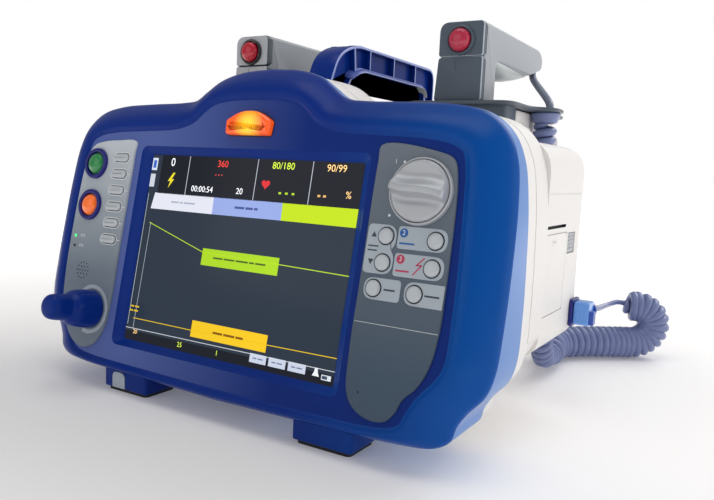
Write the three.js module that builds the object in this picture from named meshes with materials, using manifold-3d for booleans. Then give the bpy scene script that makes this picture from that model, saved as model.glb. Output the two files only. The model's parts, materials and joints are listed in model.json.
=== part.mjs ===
// Monitor-defibrillator with two lift-off paddles, as separate named sub-parts.
// Millimetres, +Z up, front towards -Y, +X on the viewer's right.
// Origin: middle of the footprint, on the surface that the rubber feet stand on.
import * as THREE from 'three';
import { mergeVertices } from 'three/addons/utils/BufferGeometryUtils.js';
import Module from 'manifold-3d';

const wasm = await Module();
wasm.setup();

// ---------------------------------------------------------------- driving dimensions
const tilt = THREE.MathUtils.degToRad(11.2);      // front panel leans back from vertical
const panelY = -110;                              // front face at the screen centre
const screenZ = 101.6;                             // screen centre above the table
const gap = 0.3;                                  // air between touching pieces
const slack = 0.35;                               // air round a moving stem or shaft

const halfWidth = 176.6;                          // widest place of the front bezel
const bodyTop = 102.5;                            // flat top above the screen centre
const humpRise = 22.8;                            // hump over the lamp, above the flat top
const bodyBottom = 90.5;                          // lowest edge below the screen centre
const edgeDepth = 12;                             // front edge rounds back by this much
const bezelBackY = -70;                           // split line between bezel and housing
const wall = 3;                                   // moulded walls
const faceWall = 3.5;                             // front face of the bezel

const screenW = 170.9;
const screenH = 128.2;
const recessDepth = 4;
const recessSide = 7.4;                           // sloping recess wall, seen from the front
const glassThick = 1.5;

const skirtEndY = -48;                            // deep lower skirt ends here
const frontTopEndY = -22;                         // high front top ends here
const wideEndY = 66;                              // wide body ends here
const rearEndY = 151;                             // narrow rear body ends here
const housingSide = 174;
const shoulderZ = 182;                            // top of the side shoulders
const deckZ = 196;                                // deck between the shoulders
const deckSplitZ = 188;                           // joint between housing and deck moulding
const deckHalf = 131;
const rearHalf = 126;
const underZ = 16;                                // underside of the housing
const rearUnderZ = 40;                            // underside of the narrow rear body
const ridgeZ = 205.5;                             // centre ridge under the handle
const ridgeHalf = 47;
const scoopHalf = 33;
const pedestalHalf = 20;
const scoopZ = 193;

const footHeight = 12.6;
const padThick = 2;
const footX = 81;
const footW = 41;
const footFrontY = -121;
const footD = 31;

const handleHalf = 10.5;
const handleTopZ = 252;
const handleGripZ = 233.5;
const handleFrontY = -21.5;
const handleRearY = 150;
const pedestalZ = 217.5;

const paddleX = 92.3;
const paddleFrontY = 17;
const gripW = 33;
const gripLength = 135;
const gripTopZ = 264;
const gripUnderZ = 240.2;
const postDepth = 28;
const flangeTopZ = 210.2;
const flangeThick = 3;
const flangeHalf = 40.7;
const flangeFrontY = 12;
const flangeRearY = 143;
const flangeCorner = 14;
const electrodeHalf = 30;
const electrodeFrontY = 46.5;
const electrodeRearY = 132;
const electrodeThick = 2;
const electrodeBlock = 7.5;
const wellClear = 1.3;
const fireButtonR = 7.75;
const fireRingR = 10.25;
const fireButtonZ = 251;

// ---------------------------------------------------------------- materials
const finish = (color, roughness, metalness = 0) =>
  new THREE.MeshStandardMaterial({ color, roughness, metalness });
const blue = finish(0x1a3f9c, 0.35);
const white = finish(0xf3f1ec, 0.5);
const slate = finish(0x5c6b76, 0.55);
const lightGrey = finish(0xaab2b8, 0.5);
const darkGrey = finish(0x4b5766, 0.5);
const paddleGrey = finish(0x8f9499, 0.5);
const silver = finish(0xd9dcde, 0.3, 0.3);
const metal = finish(0xc0c4c8, 0.25, 1);
const green = finish(0x1f8a4c, 0.35);
const orange = finish(0xf08020, 0.3);
const red = finish(0xc4203c, 0.25);
const black = finish(0x15161a, 0.4);
const glass = finish(0x1c222c, 0.1);
const board = finish(0x1d6b3a, 0.6);
const rubber = finish(0x2a2b2d, 0.9);
const paper = finish(0xf7f7f2, 0.9);
const cordBlue = finish(0x5a609c, 0.5);
const clearBlue = finish(0x6fa0e0, 0.3);

// ---------------------------------------------------------------- geometry helpers
const smallSides = 20;
const knobSides = 32;

/** Turns a closed geometry into a manifold solid. */
function solid(geometry) {
  const bare = geometry.index ? geometry.toNonIndexed() : geometry.clone();
  bare.deleteAttribute('normal');
  bare.deleteAttribute('uv');
  const merged = mergeVertices(bare, 1e-4);
  const mesh = new wasm.Mesh({
    numProp: 3,
    vertProperties: new Float32Array(merged.attributes.position.array),
    triVerts: new Uint32Array(merged.index.array),
  });
  return new wasm.Manifold(mesh);
}

/** Turns a manifold solid back into a geometry. */
function geometryOf(manifold) {
  const mesh = manifold.getMesh();
  const geometry = new THREE.BufferGeometry();
  geometry.setAttribute('position', new THREE.BufferAttribute(new Float32Array(mesh.vertProperties), 3));
  geometry.setIndex(new THREE.BufferAttribute(new Uint32Array(mesh.triVerts), 1));
  geometry.computeVertexNormals();
  return geometry;
}

function box(x0, x1, y0, y1, z0, z1) {
  const geometry = new THREE.BoxGeometry(x1 - x0, y1 - y0, z1 - z0);
  return geometry.translate((x0 + x1) / 2, (y0 + y1) / 2, (z0 + z1) / 2);
}

/** Turned piece about local z; the profile is [radius, height] pairs that start and end on the axis. */
function turned(profile, sides = smallSides) {
  const points = profile.map(([r, h]) => new THREE.Vector2(r, h));
  return new THREE.LatheGeometry(points, sides).rotateX(Math.PI / 2);
}

function rod(radius, z0, z1, sides = smallSides) {
  return turned([[0, z0], [radius, z0], [radius, z1], [0, z1]], sides);
}

function washer(inner, outer, z0, z1, sides = knobSides) {
  return solid(rod(outer, z0, z1, sides)).subtract(solid(rod(inner, z0 - 1, z1 + 1, sides)));
}

/** Straight prism of a shape in the local x-y plane, from z0 to z1. */
function prism(shape, z0, z1, curveSegments = 6) {
  const geometry = new THREE.ExtrudeGeometry(shape, { depth: z1 - z0, bevelEnabled: false, curveSegments });
  return geometry.translate(0, 0, z0);
}

/** Prism whose section is drawn in (y, z) and which runs along x. */
function prismAlongX(shape, x0, x1, curveSegments = 6) {
  const geometry = prism(shape, x0, x1, curveSegments);
  return geometry.applyMatrix4(new THREE.Matrix4().makeBasis(
    new THREE.Vector3(0, 1, 0), new THREE.Vector3(0, 0, 1), new THREE.Vector3(1, 0, 0)));
}

function roundedRect(x0, x1, y0, y1, r) {
  const shape = new THREE.Shape();
  shape.moveTo(x0 + r, y0);
  shape.lineTo(x1 - r, y0);
  shape.absarc(x1 - r, y0 + r, r, -Math.PI / 2, 0, false);
  shape.lineTo(x1, y1 - r);
  shape.absarc(x1 - r, y1 - r, r, 0, Math.PI / 2, false);
  shape.lineTo(x0 + r, y1);
  shape.absarc(x0 + r, y1 - r, r, Math.PI / 2, Math.PI, false);
  shape.lineTo(x0, y0 + r);
  shape.absarc(x0 + r, y0 + r, r, Math.PI, Math.PI * 1.5, false);
  return shape;
}

/** Skin through rings of the same length, with flat ends; rings turn anticlockwise seen from the last one. */
function loft(rings, flat) {
  const count = rings[0].length;
  const positions = rings.flat().flatMap((p) => [p.x, p.y, p.z]);
  const index = [];
  for (let i = 0; i + 1 < rings.length; i += 1) {
    for (let j = 0; j < count; j += 1) {
      const a = i * count + j;
      const b = i * count + ((j + 1) % count);
      index.push(a, b, b + count, a, b + count, a + count);
    }
  }
  const cap = (ring, first, flip) => {
    const faces = THREE.ShapeUtils.triangulateShape(ring.map(flat), []);
    for (const [a, b, c] of faces) {
      index.push(first + a, first + (flip ? c : b), first + (flip ? b : c));
    }
  };
  cap(rings[0], 0, true);
  cap(rings[rings.length - 1], (rings.length - 1) * count, false);
  const geometry = new THREE.BufferGeometry();
  geometry.setAttribute('position', new THREE.Float32BufferAttribute(positions, 3));
  geometry.setIndex(index);
  return geometry;
}

/** Moves every point of a closed anticlockwise outline inwards by a distance. */
function inset(outline, distance) {
  return outline.map((p, i) => {
    const before = outline[(i + outline.length - 1) % outline.length];
    const after = outline[(i + 1) % outline.length];
    const along = after.clone().sub(before).normalize();
    return new THREE.Vector2(p.x - along.y * distance, p.y + along.x * distance);
  });
}

/** Smooth right half through its points, mirrored to a closed anticlockwise outline. */
function mirrored(points, steps) {
  const curve = new THREE.CatmullRomCurve3(points.map(([x, y]) => new THREE.Vector3(x, y, 0)), false, 'centripetal');
  const half = curve.getPoints(steps).map((p) => new THREE.Vector2(p.x, p.y));
  const left = half.slice(1, -1).map((p) => new THREE.Vector2(-p.x, p.y));
  return [...half.reverse(), ...left];
}

const named = new THREE.Group();
const panel = new THREE.Group();
panel.position.set(0, panelY, screenZ);
panel.rotation.x = Math.PI / 2 - tilt;
named.add(panel);

function addMesh(parent, name, shape, material) {
  const geometry = shape instanceof THREE.BufferGeometry ? shape : geometryOf(shape);
  const mesh = new THREE.Mesh(geometry, material);
  mesh.name = name;
  parent.add(mesh);
  return mesh;
}

// ---------------------------------------------------------------- outlines of the body
// Right half, from the top middle clockwise: [across, up] from the screen centre in the panel's plane.
const outlineSteps = 44;
const topV = bodyTop;
const W = halfWidth;
const edgePoints = [
  [0, topV + humpRise], [24, topV + 20.9], [40, topV + 16], [50.5, topV + 9], [60, topV + 2.7],
  [74, topV + 0.9], [105, topV], [W - 42.6, topV - 1.7], [W - 23.6, topV - 6.5], [W - 11.6, topV - 16.5],
  [W - 4.6, topV - 31.5], [W - 1.3, 48], [W, 15], [W, -18], [W - 1.3, -42], [W - 5.1, -54],
  [W - 13.6, -64.5], [W - 18.1, -72], [W - 20.6, -80], [W - 27.6, -85], [W - 46.6, -87.5],
  [90, 1.7 - bodyBottom], [0, -bodyBottom],
];
const ridgePoints = [
  [0, topV + 2.7], [22, topV + 1.8], [35, topV - 1], [43, topV - 6], [51.5, topV - 13],
  [64, topV - 16.9], [95, topV - 18.7], [W - 54.6, topV - 20], [W - 36.6, topV - 23], [W - 27.6, topV - 28.5],
  [W - 24.1, topV - 39.5], [W - 22.6, 46], [W - 20.8, 15], [W - 20.1, -18], [W - 21.3, -42],
  [W - 26.1, -51.5], [W - 34.1, -61], [W - 39.1, -70], [W - 42.6, -77.5], [W - 49.6, -81.5],
  [W - 64.6, -83.8], [80, 5.9 - bodyBottom], [0, 5 - bodyBottom],
];
const edgeOutline = mirrored(edgePoints, outlineSteps);
const ridgeOutline = mirrored(ridgePoints, outlineSteps);

/** World point of a place on the tilted panel: across u, up v, outwards n. */
function onPanel(u, v, n) {
  return new THREE.Vector3(
    u,
    panelY + v * Math.sin(tilt) - n * Math.cos(tilt),
    screenZ + v * Math.cos(tilt) + n * Math.sin(tilt),
  );
}
const panelRing = (outline, n) => outline.map((p) => onPanel(p.x, p.y, n));
const blend = (from, to, share) => from.map((p, i) => p.clone().lerp(to[i], share));
const sectionRing = (outline, y) => outline.map((p) => new THREE.Vector3(p.x, y, p.y));
const frontView = (p) => new THREE.Vector2(p.x, p.z);

/** The edge outline carried straight back, as heights above the table. */
const backOutline = panelRing(edgeOutline, -edgeDepth).map(frontView);

// ---------------------------------------------------------------- front bezel
const roundShare = [0.35, 0.7];
const roundDepth = [0.46, 0.1];
const edgeRings = [
  sectionRing(backOutline, bezelBackY),
  panelRing(edgeOutline, -edgeDepth),
  ...roundShare.map((share, i) => panelRing(blend(edgeOutline, ridgeOutline, share), -edgeDepth * roundDepth[i])),
  panelRing(ridgeOutline, 0),
];
const innerEdge = inset(edgeOutline, wall);
const hollowRings = [
  sectionRing(inset(backOutline, wall), bezelBackY + 2),
  panelRing(innerEdge, -edgeDepth - 2),
  panelRing(inset(ridgeOutline, wall), -faceWall),
];
const toPanel = new THREE.Matrix4().compose(
  panel.position,
  new THREE.Quaternion().setFromEuler(panel.rotation),
  new THREE.Vector3(1, 1, 1),
);
const placed = (geometry) => solid(geometry.clone().applyMatrix4(toPanel));

const panelDeep = 1.5;                            // pocket for each grey panel
const panelProud = 0.3;
const leftPanelPoints = [
  [-100, 72], [-100, -40], [-102.5, -60], [-110, -72], [-121, -76.5], [-132, -74.5], [-141.5, -64],
  [-148.5, -50], [-151.5, -30], [-152.3, 0], [-150.8, 50], [-148.2, 63.5], [-140, 69.5],
];
const rightPanelPoints = [
  [96.5, 73], [133, 71], [142, 67.5], [145, 58], [147.5, -6.7], [147, -25], [144, -43], [138.5, -54.5],
  [131.5, -61.5], [128, -70], [122.5, -75.5], [113, -76.3], [103, -72.2], [97.5, -64.9], [95.5, -42],
];

/** Closed outline whose straight first side joins a smooth curve through the other points. */
function panelShape(points, clear) {
  const curve = new THREE.CatmullRomCurve3(points.map(([x, y]) => new THREE.Vector3(x, y, 0)), true, 'catmullrom', 0.3);
  let ring = curve.getPoints(48).slice(0, -1).map((p) => new THREE.Vector2(p.x, p.y));
  if (THREE.ShapeUtils.isClockWise(ring)) ring = ring.reverse();
  return new THREE.Shape(inset(ring, clear));
}

// Control places on the panel: [across, up].
const greenAt = [-136.4, 54.8];
const orangeAt = [-136.1, 24.5];
const navAt = [-118, -49];
const modeAt = [125.9, 49];
const softKeyX = -111.6;
const softKeyTop = 59.9;
const softKeyPitch = 11.7;
const softKeyCount = 6;
const roundKeys = {
  energy_up_button: [108.7, 23.3],
  energy_down_button: [108.6, 8.6],
  charge_button: [138.4, 23.1],
  shock_button: [138.4, 8.4],
  sync_button: [105.3, -5.8],
  disarm_button: [130.3, -6.1],
};
const speakerAt = [-133, -23];
const pushR = 7.5;
const pushRingR = 11.25;
const roundKeyR = 4.4;
const softKeyW = 14.4;
const softKeyH = 5.6;
const shaftR = 3;
const stemDeep = 8;
const softKeyV = (k) => softKeyTop - softKeyPitch * k;
const softKeyPill = (clear) => roundedRect(
  softKeyX - softKeyW / 2 - clear, softKeyX + softKeyW / 2 + clear,
  -softKeyH / 2 - clear, softKeyH / 2 + clear, softKeyH / 2 + clear - 0.01);

/** Everything that passes through a panel and the bezel face behind it. */
function stemHoles(side) {
  const holes = [];
  const round = ([u, v], r, sides) => holes.push(rod(r + slack, -12, 6, sides).translate(u, v, 0));
  if (side < 0) {
    round(greenAt, pushR, smallSides);
    round(orangeAt, pushR, smallSides);
    round(navAt, shaftR, smallSides);
    for (let k = 0; k < softKeyCount; k += 1) {
      holes.push(prism(softKeyPill(slack), -12, 6, 4).translate(0, softKeyV(k), 0));
    }
  } else {
    round(modeAt, shaftR, smallSides);
    Object.values(roundKeys).forEach((place) => round(place, roundKeyR, smallSides));
  }
  return holes;
}

const lampHalfW = 17.3;
const lampBottom = 78.1;
const lampTop = 92.9;
const lampProud = 3.5;
/** Alarm lamp outline: flat bottom, short upright sides, arched top. */
function lampShape(clear) {
  const shape = new THREE.Shape();
  const w = lampHalfW + clear;
  shape.moveTo(-w, lampBottom - clear);
  shape.lineTo(w, lampBottom - clear);
  shape.lineTo(w * 0.97, lampTop - 5);
  shape.quadraticCurveTo(w * 0.6, lampTop + clear, 0, lampTop + clear);
  shape.quadraticCurveTo(-w * 0.6, lampTop + clear, -w * 0.97, lampTop - 5);
  return shape;
}

const windowHalfW = screenW / 2 + 0.15;
const windowHalfH = screenH / 2 + 0.2;
const rimHalfW = windowHalfW + 14;
const rimHalfH = windowHalfH + 11;
const rimDeep = recessDepth + 3.2;
const lip = 0.6;
const rebate = 2.4;
const rectRing = (halfW, halfH, r, n) => roundedRect(-halfW, halfW, -halfH, halfH, r)
  .getPoints(3).slice(0, -1).map((p) => new THREE.Vector3(p.x, p.y, n));

function frontBezel() {
  let body = solid(loft(edgeRings, frontView)).subtract(solid(loft(hollowRings, frontView)));
  body = body.add(placed(box(-rimHalfW, rimHalfW, -rimHalfH, rimHalfH, -rimDeep, -faceWall + 0.5)));
  const flare = recessSide * (1 + 1 / recessDepth);
  const recess = loft([
    rectRing(windowHalfW, windowHalfH, 1.5, -recessDepth),
    rectRing(windowHalfW + flare, windowHalfH + flare * 0.75, 1.5 + flare * 0.6, 1),
  ], (p) => new THREE.Vector2(p.x, p.y));
  body = body.subtract(placed(recess));
  body = body.subtract(placed(box(-windowHalfW, windowHalfW, -windowHalfH, windowHalfH, -rimDeep - 1, 0)));
  const seatW = windowHalfW + rebate;
  const seatH = windowHalfH + rebate;
  body = body.subtract(placed(box(-seatW, seatW, -seatH, seatH, -rimDeep - 1, -recessDepth - lip)));
  body = body.subtract(placed(prism(panelShape(leftPanelPoints, 0), -panelDeep, 2)));
  body = body.subtract(placed(prism(panelShape(rightPanelPoints, 0), -panelDeep, 2)));
  body = body.subtract(placed(prism(lampShape(slack), -12, 6)));
  for (const side of [-1, 1]) {
    stemHoles(side).forEach((hole) => { body = body.subtract(placed(hole)); });
  }
  for (const side of [-1, 1]) {
    const x = side * footX;
    body = body.add(solid(box(
      x - footW / 2, x + footW / 2, footFrontY, footFrontY + footD, padThick + gap, footHeight + 1.5)));
  }
  return body;
}
addMesh(named, 'front_bezel', frontBezel(), blue);

// ---------------------------------------------------------------- screen
const glassTop = -recessDepth - lip - gap;
addMesh(panel, 'screen_window', box(
  -windowHalfW - rebate + gap, windowHalfW + rebate - gap,
  -windowHalfH - rebate + gap, windowHalfH + rebate - gap, glassTop - glassThick, glassTop), glass);
addMesh(panel, 'lcd_module', box(
  -rimHalfW + 4, rimHalfW - 4, -rimHalfH + 4, rimHalfH - 4, -rimDeep - 8, -rimDeep - gap), metal);

// ---------------------------------------------------------------- grey panels
function greyPanel(points, side) {
  let plate = solid(prism(panelShape(points, gap), -panelDeep + gap, panelProud));
  stemHoles(side).forEach((hole) => { plate = plate.subtract(solid(hole)); });
  return plate;
}
addMesh(panel, 'left_panel', greyPanel(leftPanelPoints, -1), lightGrey);
addMesh(panel, 'right_panel', greyPanel(rightPanelPoints, 1), slate);

// ---------------------------------------------------------------- alarm lamp
addMesh(panel, 'alarm_lamp', prism(lampShape(0), -faceWall - 2, lampProud), orange);

// ---------------------------------------------------------------- push buttons
const domed = (r, proud, rise) => [
  [0, -stemDeep], [r, -stemDeep], [r, proud], [r * 0.86, proud + rise * 0.5], [r * 0.5, proud + rise * 0.88],
  [0, proud + rise],
];
const ringHeight = 2.6;
const ringInner = pushR + 0.9;
function pushButton(name, [u, v], material) {
  addMesh(panel, name, turned(domed(pushR, 1.2, 3.2)).translate(u, v, 0), material);
  const ring = washer(ringInner, pushRingR, panelProud + gap, ringHeight);
  addMesh(panel, `${name}_ring`, ring.translate(u, v, 0), blue);
}
pushButton('green_button', greenAt, green);
pushButton('orange_button', orangeAt, orange);

const softKeyProud = 1.9;
for (let k = 0; k < softKeyCount; k += 1) {
  const key = prism(softKeyPill(0), -stemDeep, softKeyProud, 4).translate(0, softKeyV(k), 0);
  addMesh(panel, `soft_key_${k + 1}`, key, silver);
}
for (const [name, [u, v]] of Object.entries(roundKeys)) {
  addMesh(panel, name, turned(domed(roundKeyR, 1.6, 0.9)).translate(u, v, 0), silver);
}

// ---------------------------------------------------------------- knobs
const shaftDeep = 12;
const modeR = 17;
const modeRingR = 18.4;
const modeDisc = 4.5;
const modeGripH = 11.5;
const modeGripW = 8.5;
function modeKnob() {
  const disc = solid(turned([
    [0, -shaftDeep + gap], [shaftR, -shaftDeep + gap], [shaftR, panelProud + 0.7], [modeR, panelProud + 0.7],
    [modeR, modeDisc], [modeR - 1.6, modeDisc + 1.8], [0, modeDisc + 3],
  ], knobSides));
  const grip = prism(roundedRect(-modeR + 0.6, modeR - 0.6, -modeGripW / 2, modeGripW / 2, 3), modeDisc, modeGripH, 3);
  return disc.add(solid(grip)).translate(modeAt[0], modeAt[1], 0);
}
addMesh(panel, 'mode_knob', modeKnob(), silver);
addMesh(panel, 'mode_knob_ring', washer(modeR + 0.5, modeRingR, panelProud + gap, 3.2)
  .translate(modeAt[0], modeAt[1], 0), silver);

const navSkirtR = 13.4;
const navGripR = 8.8;
const navSkirtEnd = 19;
const navTip = 35.5;
const navProfile = [
  [0, -shaftDeep + gap], [shaftR, -shaftDeep + gap], [shaftR, panelProud + 0.7], [navSkirtR, panelProud + 0.7],
  [navSkirtR - 1.1, navSkirtEnd], [navGripR + 0.6, navSkirtEnd + 2.5], [navGripR, navTip - 4],
  [navGripR - 1.6, navTip - 1], [navGripR - 4.5, navTip], [0, navTip],
];
addMesh(panel, 'nav_knob', turned(navProfile, 28).translate(navAt[0], navAt[1], 0), blue);
addMesh(panel, 'speaker', turned([
  [0, -26], [7, -26], [7, -20], [14, -13], [14, -faceWall - gap - 1], [0, -faceWall - gap - 1],
]).translate(speakerAt[0], speakerAt[1], 0), black);

// ---------------------------------------------------------------- housing
const frontInset = 1.5;
const highOutline = inset(backOutline, frontInset);
const tuckStart = screenZ - 44;
/** Lower side of the housing behind the skirt: tucked in under the side wall. */
const tuckPoints = [[W - 10, screenZ - 52], [W - 24, screenZ - 59], [118, screenZ - 66], [110, underZ + 2], [104, underZ]];

function withTuck(outline) {
  const upper = outline.filter((p) => p.y > tuckStart);
  const right = tuckPoints.map(([x, z]) => new THREE.Vector2(x, z));
  const left = tuckPoints.map(([x, z]) => new THREE.Vector2(-x, z));
  const firstLeft = upper.findIndex((p, i) => p.x < 0 && upper[Math.max(i - 1, 0)].x >= 0);
  const ordered = upper.filter((p) => p.x >= 0).sort((a, b) => a.y - b.y || b.x - a.x);
  const mirror = ordered.filter((p) => p.x > 0).map((p) => new THREE.Vector2(-p.x, p.y)).reverse();
  return firstLeft < 0 ? outline : [...right.reverse(), ...ordered, ...mirror, ...left];
}
const shoulderR = 20;
const lowTop = [];
for (let i = 0; i <= 6; i += 1) {
  const a = (i / 6) * (Math.PI / 2);
  lowTop.push(new THREE.Vector2(
    housingSide - shoulderR + shoulderR * Math.cos(a), shoulderZ - shoulderR + shoulderR * Math.sin(a)));
}
const lowOutline = withTuck([
  new THREE.Vector2(housingSide, tuckStart + 1), ...lowTop,
  ...lowTop.map((p) => new THREE.Vector2(-p.x, p.y)).reverse(), new THREE.Vector2(-housingSide, tuckStart + 1),
]);
const midOutline = withTuck(highOutline);
const bar = (outline, y0, y1) => solid(loft([sectionRing(outline, y1), sectionRing(outline, y0)], frontView));
const cuboid = (...sizes) => solid(box(...sizes));

const doorY0 = -38;
const doorY1 = 19;
const doorZ0 = 75;
const doorZ1 = 129;
const bayDeep = 56;
const latchY0 = 22;
const latchY1 = 40;
const latchZ0 = 111;
const latchZ1 = 125;
const socketY = 48;
const socketZ = 69;
const socketR = 7.5;
const wellOuter = electrodeHalf + wellClear + wall;

function mainHousing() {
  let body = bar(highOutline, bezelBackY + gap, skirtEndY);
  body = body.add(bar(midOutline, skirtEndY - 1, frontTopEndY));
  body = body.add(bar(lowOutline, frontTopEndY - 1, wideEndY));
  body = body.add(cuboid(-deckHalf, deckHalf, frontTopEndY - 1, wideEndY, 120, deckSplitZ));
  // Hollow inside, open at the front.
  body = body.subtract(bar(inset(highOutline, wall), bezelBackY - 2, skirtEndY - wall));
  body = body.subtract(bar(inset(midOutline, wall), bezelBackY - 2, frontTopEndY - wall));
  body = body.subtract(bar(inset(lowOutline, wall), bezelBackY - 2, wideEndY - wall));
  // Recorder door opening, latch opening and paddle socket hole in the right wall.
  const inside = housingSide - wall - 6;
  const outside = housingSide + 4;
  body = body.subtract(cuboid(inside, outside, doorY0, doorY1, doorZ0, doorZ1));
  body = body.subtract(cuboid(inside, outside, latchY0, latchY1, latchZ0, latchZ1));
  const socketHole = rod(socketR + gap, inside, outside).rotateY(Math.PI / 2).translate(0, socketY, socketZ);
  return body.subtract(solid(socketHole));
}

function rearHousing() {
  const y0 = wideEndY + gap;
  const outer = cuboid(-rearHalf, rearHalf, y0, rearEndY, rearUnderZ, deckSplitZ);
  return outer.subtract(cuboid(-rearHalf + wall, rearHalf - wall, y0 + wall, rearEndY + 2,
    rearUnderZ + wall, deckSplitZ - wall));
}

function topDeck() {
  const y0 = frontTopEndY + gap;
  const z0 = deckSplitZ + gap;
  let body = cuboid(-deckHalf, deckHalf, y0, wideEndY, z0, deckZ);
  body = body.add(cuboid(-rearHalf, rearHalf, wideEndY - 1, rearEndY, z0, deckZ));
  body = body.add(cuboid(-ridgeHalf, ridgeHalf, y0, rearEndY, deckZ - 2, ridgeZ));
  body = body.add(cuboid(-pedestalHalf, pedestalHalf, y0, 5, deckZ, pedestalZ - gap));
  body = body.add(cuboid(-pedestalHalf, pedestalHalf, 130, rearEndY, deckZ, pedestalZ - gap));
  for (const side of [-1, 1]) {
    const x = side * paddleX;
    body = body.add(cuboid(x - wellOuter, x + wellOuter, electrodeFrontY - wellClear - wall,
      electrodeRearY + wellClear + wall, deckZ - 2, flangeTopZ - flangeThick - 0.7));
  }
  // Hand scoop under the carry handle, then the two paddle wells.
  body = body.subtract(cuboid(-scoopHalf, scoopHalf, 8, 126, scoopZ, ridgeZ + 30));
  for (const side of [-1, 1]) {
    const x = side * paddleX;
    const half = electrodeHalf + wellClear;
    body = body.subtract(cuboid(x - half, x + half, electrodeFrontY - wellClear,
      electrodeRearY + wellClear, deckZ - 0.5, flangeTopZ + 5));
  }
  return body;
}
addMesh(named, 'main_housing', mainHousing(), white);
addMesh(named, 'rear_housing', rearHousing(), white);
addMesh(named, 'top_deck', topDeck(), white);

const coverThick = 3;
function rearCover() {
  let plate = solid(prismBack(roundedRect(-rearHalf, rearHalf, rearUnderZ, deckZ, 6), rearEndY + gap, coverThick));
  plate = plate.subtract(cuboid(-98, -66, rearEndY - 5, rearEndY + 10, 52, 76));
  return plate;
}
/** Plate drawn in (x, z) that starts at y and goes back by its thickness. */
function prismBack(shape, y, thick) {
  const geometry = prism(shape, 0, thick);
  return geometry.applyMatrix4(new THREE.Matrix4().makeBasis(
    new THREE.Vector3(1, 0, 0), new THREE.Vector3(0, 0, 1), new THREE.Vector3(0, -1, 0)))
    .translate(0, y + thick, 0);
}
addMesh(named, 'rear_cover', rearCover(), white);

// ---------------------------------------------------------------- mains inlet and feet
addMesh(named, 'mains_inlet', box(-98 + gap, -66 - gap, rearEndY - 18, rearEndY + gap + coverThick,
  52 + gap, 76 - gap), black);
for (const [name, side, front] of [
  ['foot_pad_front_left', -1, true], ['foot_pad_front_right', 1, true],
  ['foot_pad_rear_left', -1, false], ['foot_pad_rear_right', 1, false],
]) {
  const x = side * footX;
  if (front) {
    addMesh(named, name, prism(roundedRect(x - footW / 2 + 2, x + footW / 2 - 2,
      footFrontY + 2, footFrontY + footD - 2, 3), 0, padThick, 3), rubber);
  } else {
    addMesh(named, name, prism(roundedRect(x - footW / 2 + 2, x + footW / 2 - 2,
      wideEndY - 44, wideEndY - 14, 5), 0, underZ - gap, 3), rubber);
  }
}

// ---------------------------------------------------------------- carry handle
function carryHandle() {
  const side = new THREE.Shape();
  side.moveTo(handleFrontY, pedestalZ);
  side.lineTo(5, handleTopZ - 3);
  side.quadraticCurveTo(8, handleTopZ, 12, handleTopZ);
  side.lineTo(handleRearY - 10, handleTopZ);
  side.quadraticCurveTo(handleRearY, handleTopZ, handleRearY, handleTopZ - 10);
  side.lineTo(handleRearY, pedestalZ);
  side.lineTo(131, pedestalZ);
  side.lineTo(131, handleGripZ - 5);
  side.quadraticCurveTo(131, handleGripZ, 125, handleGripZ);
  side.lineTo(25, handleGripZ);
  side.quadraticCurveTo(17, handleGripZ, 13, handleGripZ - 5);
  side.lineTo(3, pedestalZ);
  let body = solid(prismAlongX(side, -handleHalf, handleHalf, 4));
  const ribHalf = 1.3;
  const bayTop = handleTopZ - 3.8;
  const bayBottom = handleGripZ + 3.5;
  const webHalf = 2.5;
  const ribs = [13, 35, 73.5, 112, 143];
  for (let i = 0; i + 1 < ribs.length; i += 1) {
    for (const s of [-1, 1]) {
      const x0 = s > 0 ? webHalf : -handleHalf - 1;
      body = body.subtract(cuboid(x0, x0 + handleHalf - webHalf + 1, ribs[i] + ribHalf, ribs[i + 1] - ribHalf,
        bayBottom, bayTop));
    }
  }
  const lipShape = roundedRect(8, 128, handleGripZ - 4, handleGripZ + 0.5, 2.2);
  return body.add(solid(prismAlongX(lipShape, -handleHalf - 2.5, handleHalf + 2.5, 3)));
}
addMesh(named, 'carry_handle', carryHandle(), blue);

// ---------------------------------------------------------------- printer
const doorThick = 2.2;
addMesh(named, 'printer_door', prismAlongX(roundedRect(doorY0 + slack, doorY1 - slack, doorZ0 + slack,
  doorZ1 - 3.2, 3), housingSide - doorThick, housingSide, 3), white);
addMesh(named, 'printer_latch', box(housingSide - 5, housingSide - 0.6, latchY0 + slack, latchY1 - slack,
  latchZ0 + slack, latchZ1 - slack), lightGrey);
const bayX1 = housingSide - wall - gap;
const bayX0 = bayX1 - bayDeep;
const bayWall = 2;
function printerBay() {
  const outer = cuboid(bayX0, bayX1, doorY0 - 4, doorY1 + 2.5, doorZ0 - 3, doorZ1 + 3);
  return outer.subtract(cuboid(bayX0 + bayWall, bayX1 + 1, doorY0 - 4 + bayWall, doorY1 + 2.5 - bayWall,
    doorZ0 - 3 + bayWall, doorZ1 + 3 - bayWall));
}
addMesh(named, 'printer_bay', printerBay(), darkGrey);
const rollR = 20;
const rollCentreX = bayX0 + bayWall + rollR + 3;
const rollCentreZ = doorZ0 + rollR + 5;
addMesh(named, 'paper_roll', rod(rollR, doorY0 + 3, doorY1 - 3, 24).rotateX(-Math.PI / 2)
  .translate(rollCentreX, 0, rollCentreZ), paper);

// ---------------------------------------------------------------- inside the case
addMesh(named, 'battery_pack', prismAlongX(roundedRect(72, 140, 45, 105, 4), 10, 110, 3), black);
addMesh(named, 'main_board', box(-138, 95, -34, -32, 62, 165), board);
addMesh(named, 'hv_capacitor', rod(27, 0, 78, 28).rotateX(-Math.PI / 2).translate(-60, -20, 70), metal);

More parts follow.
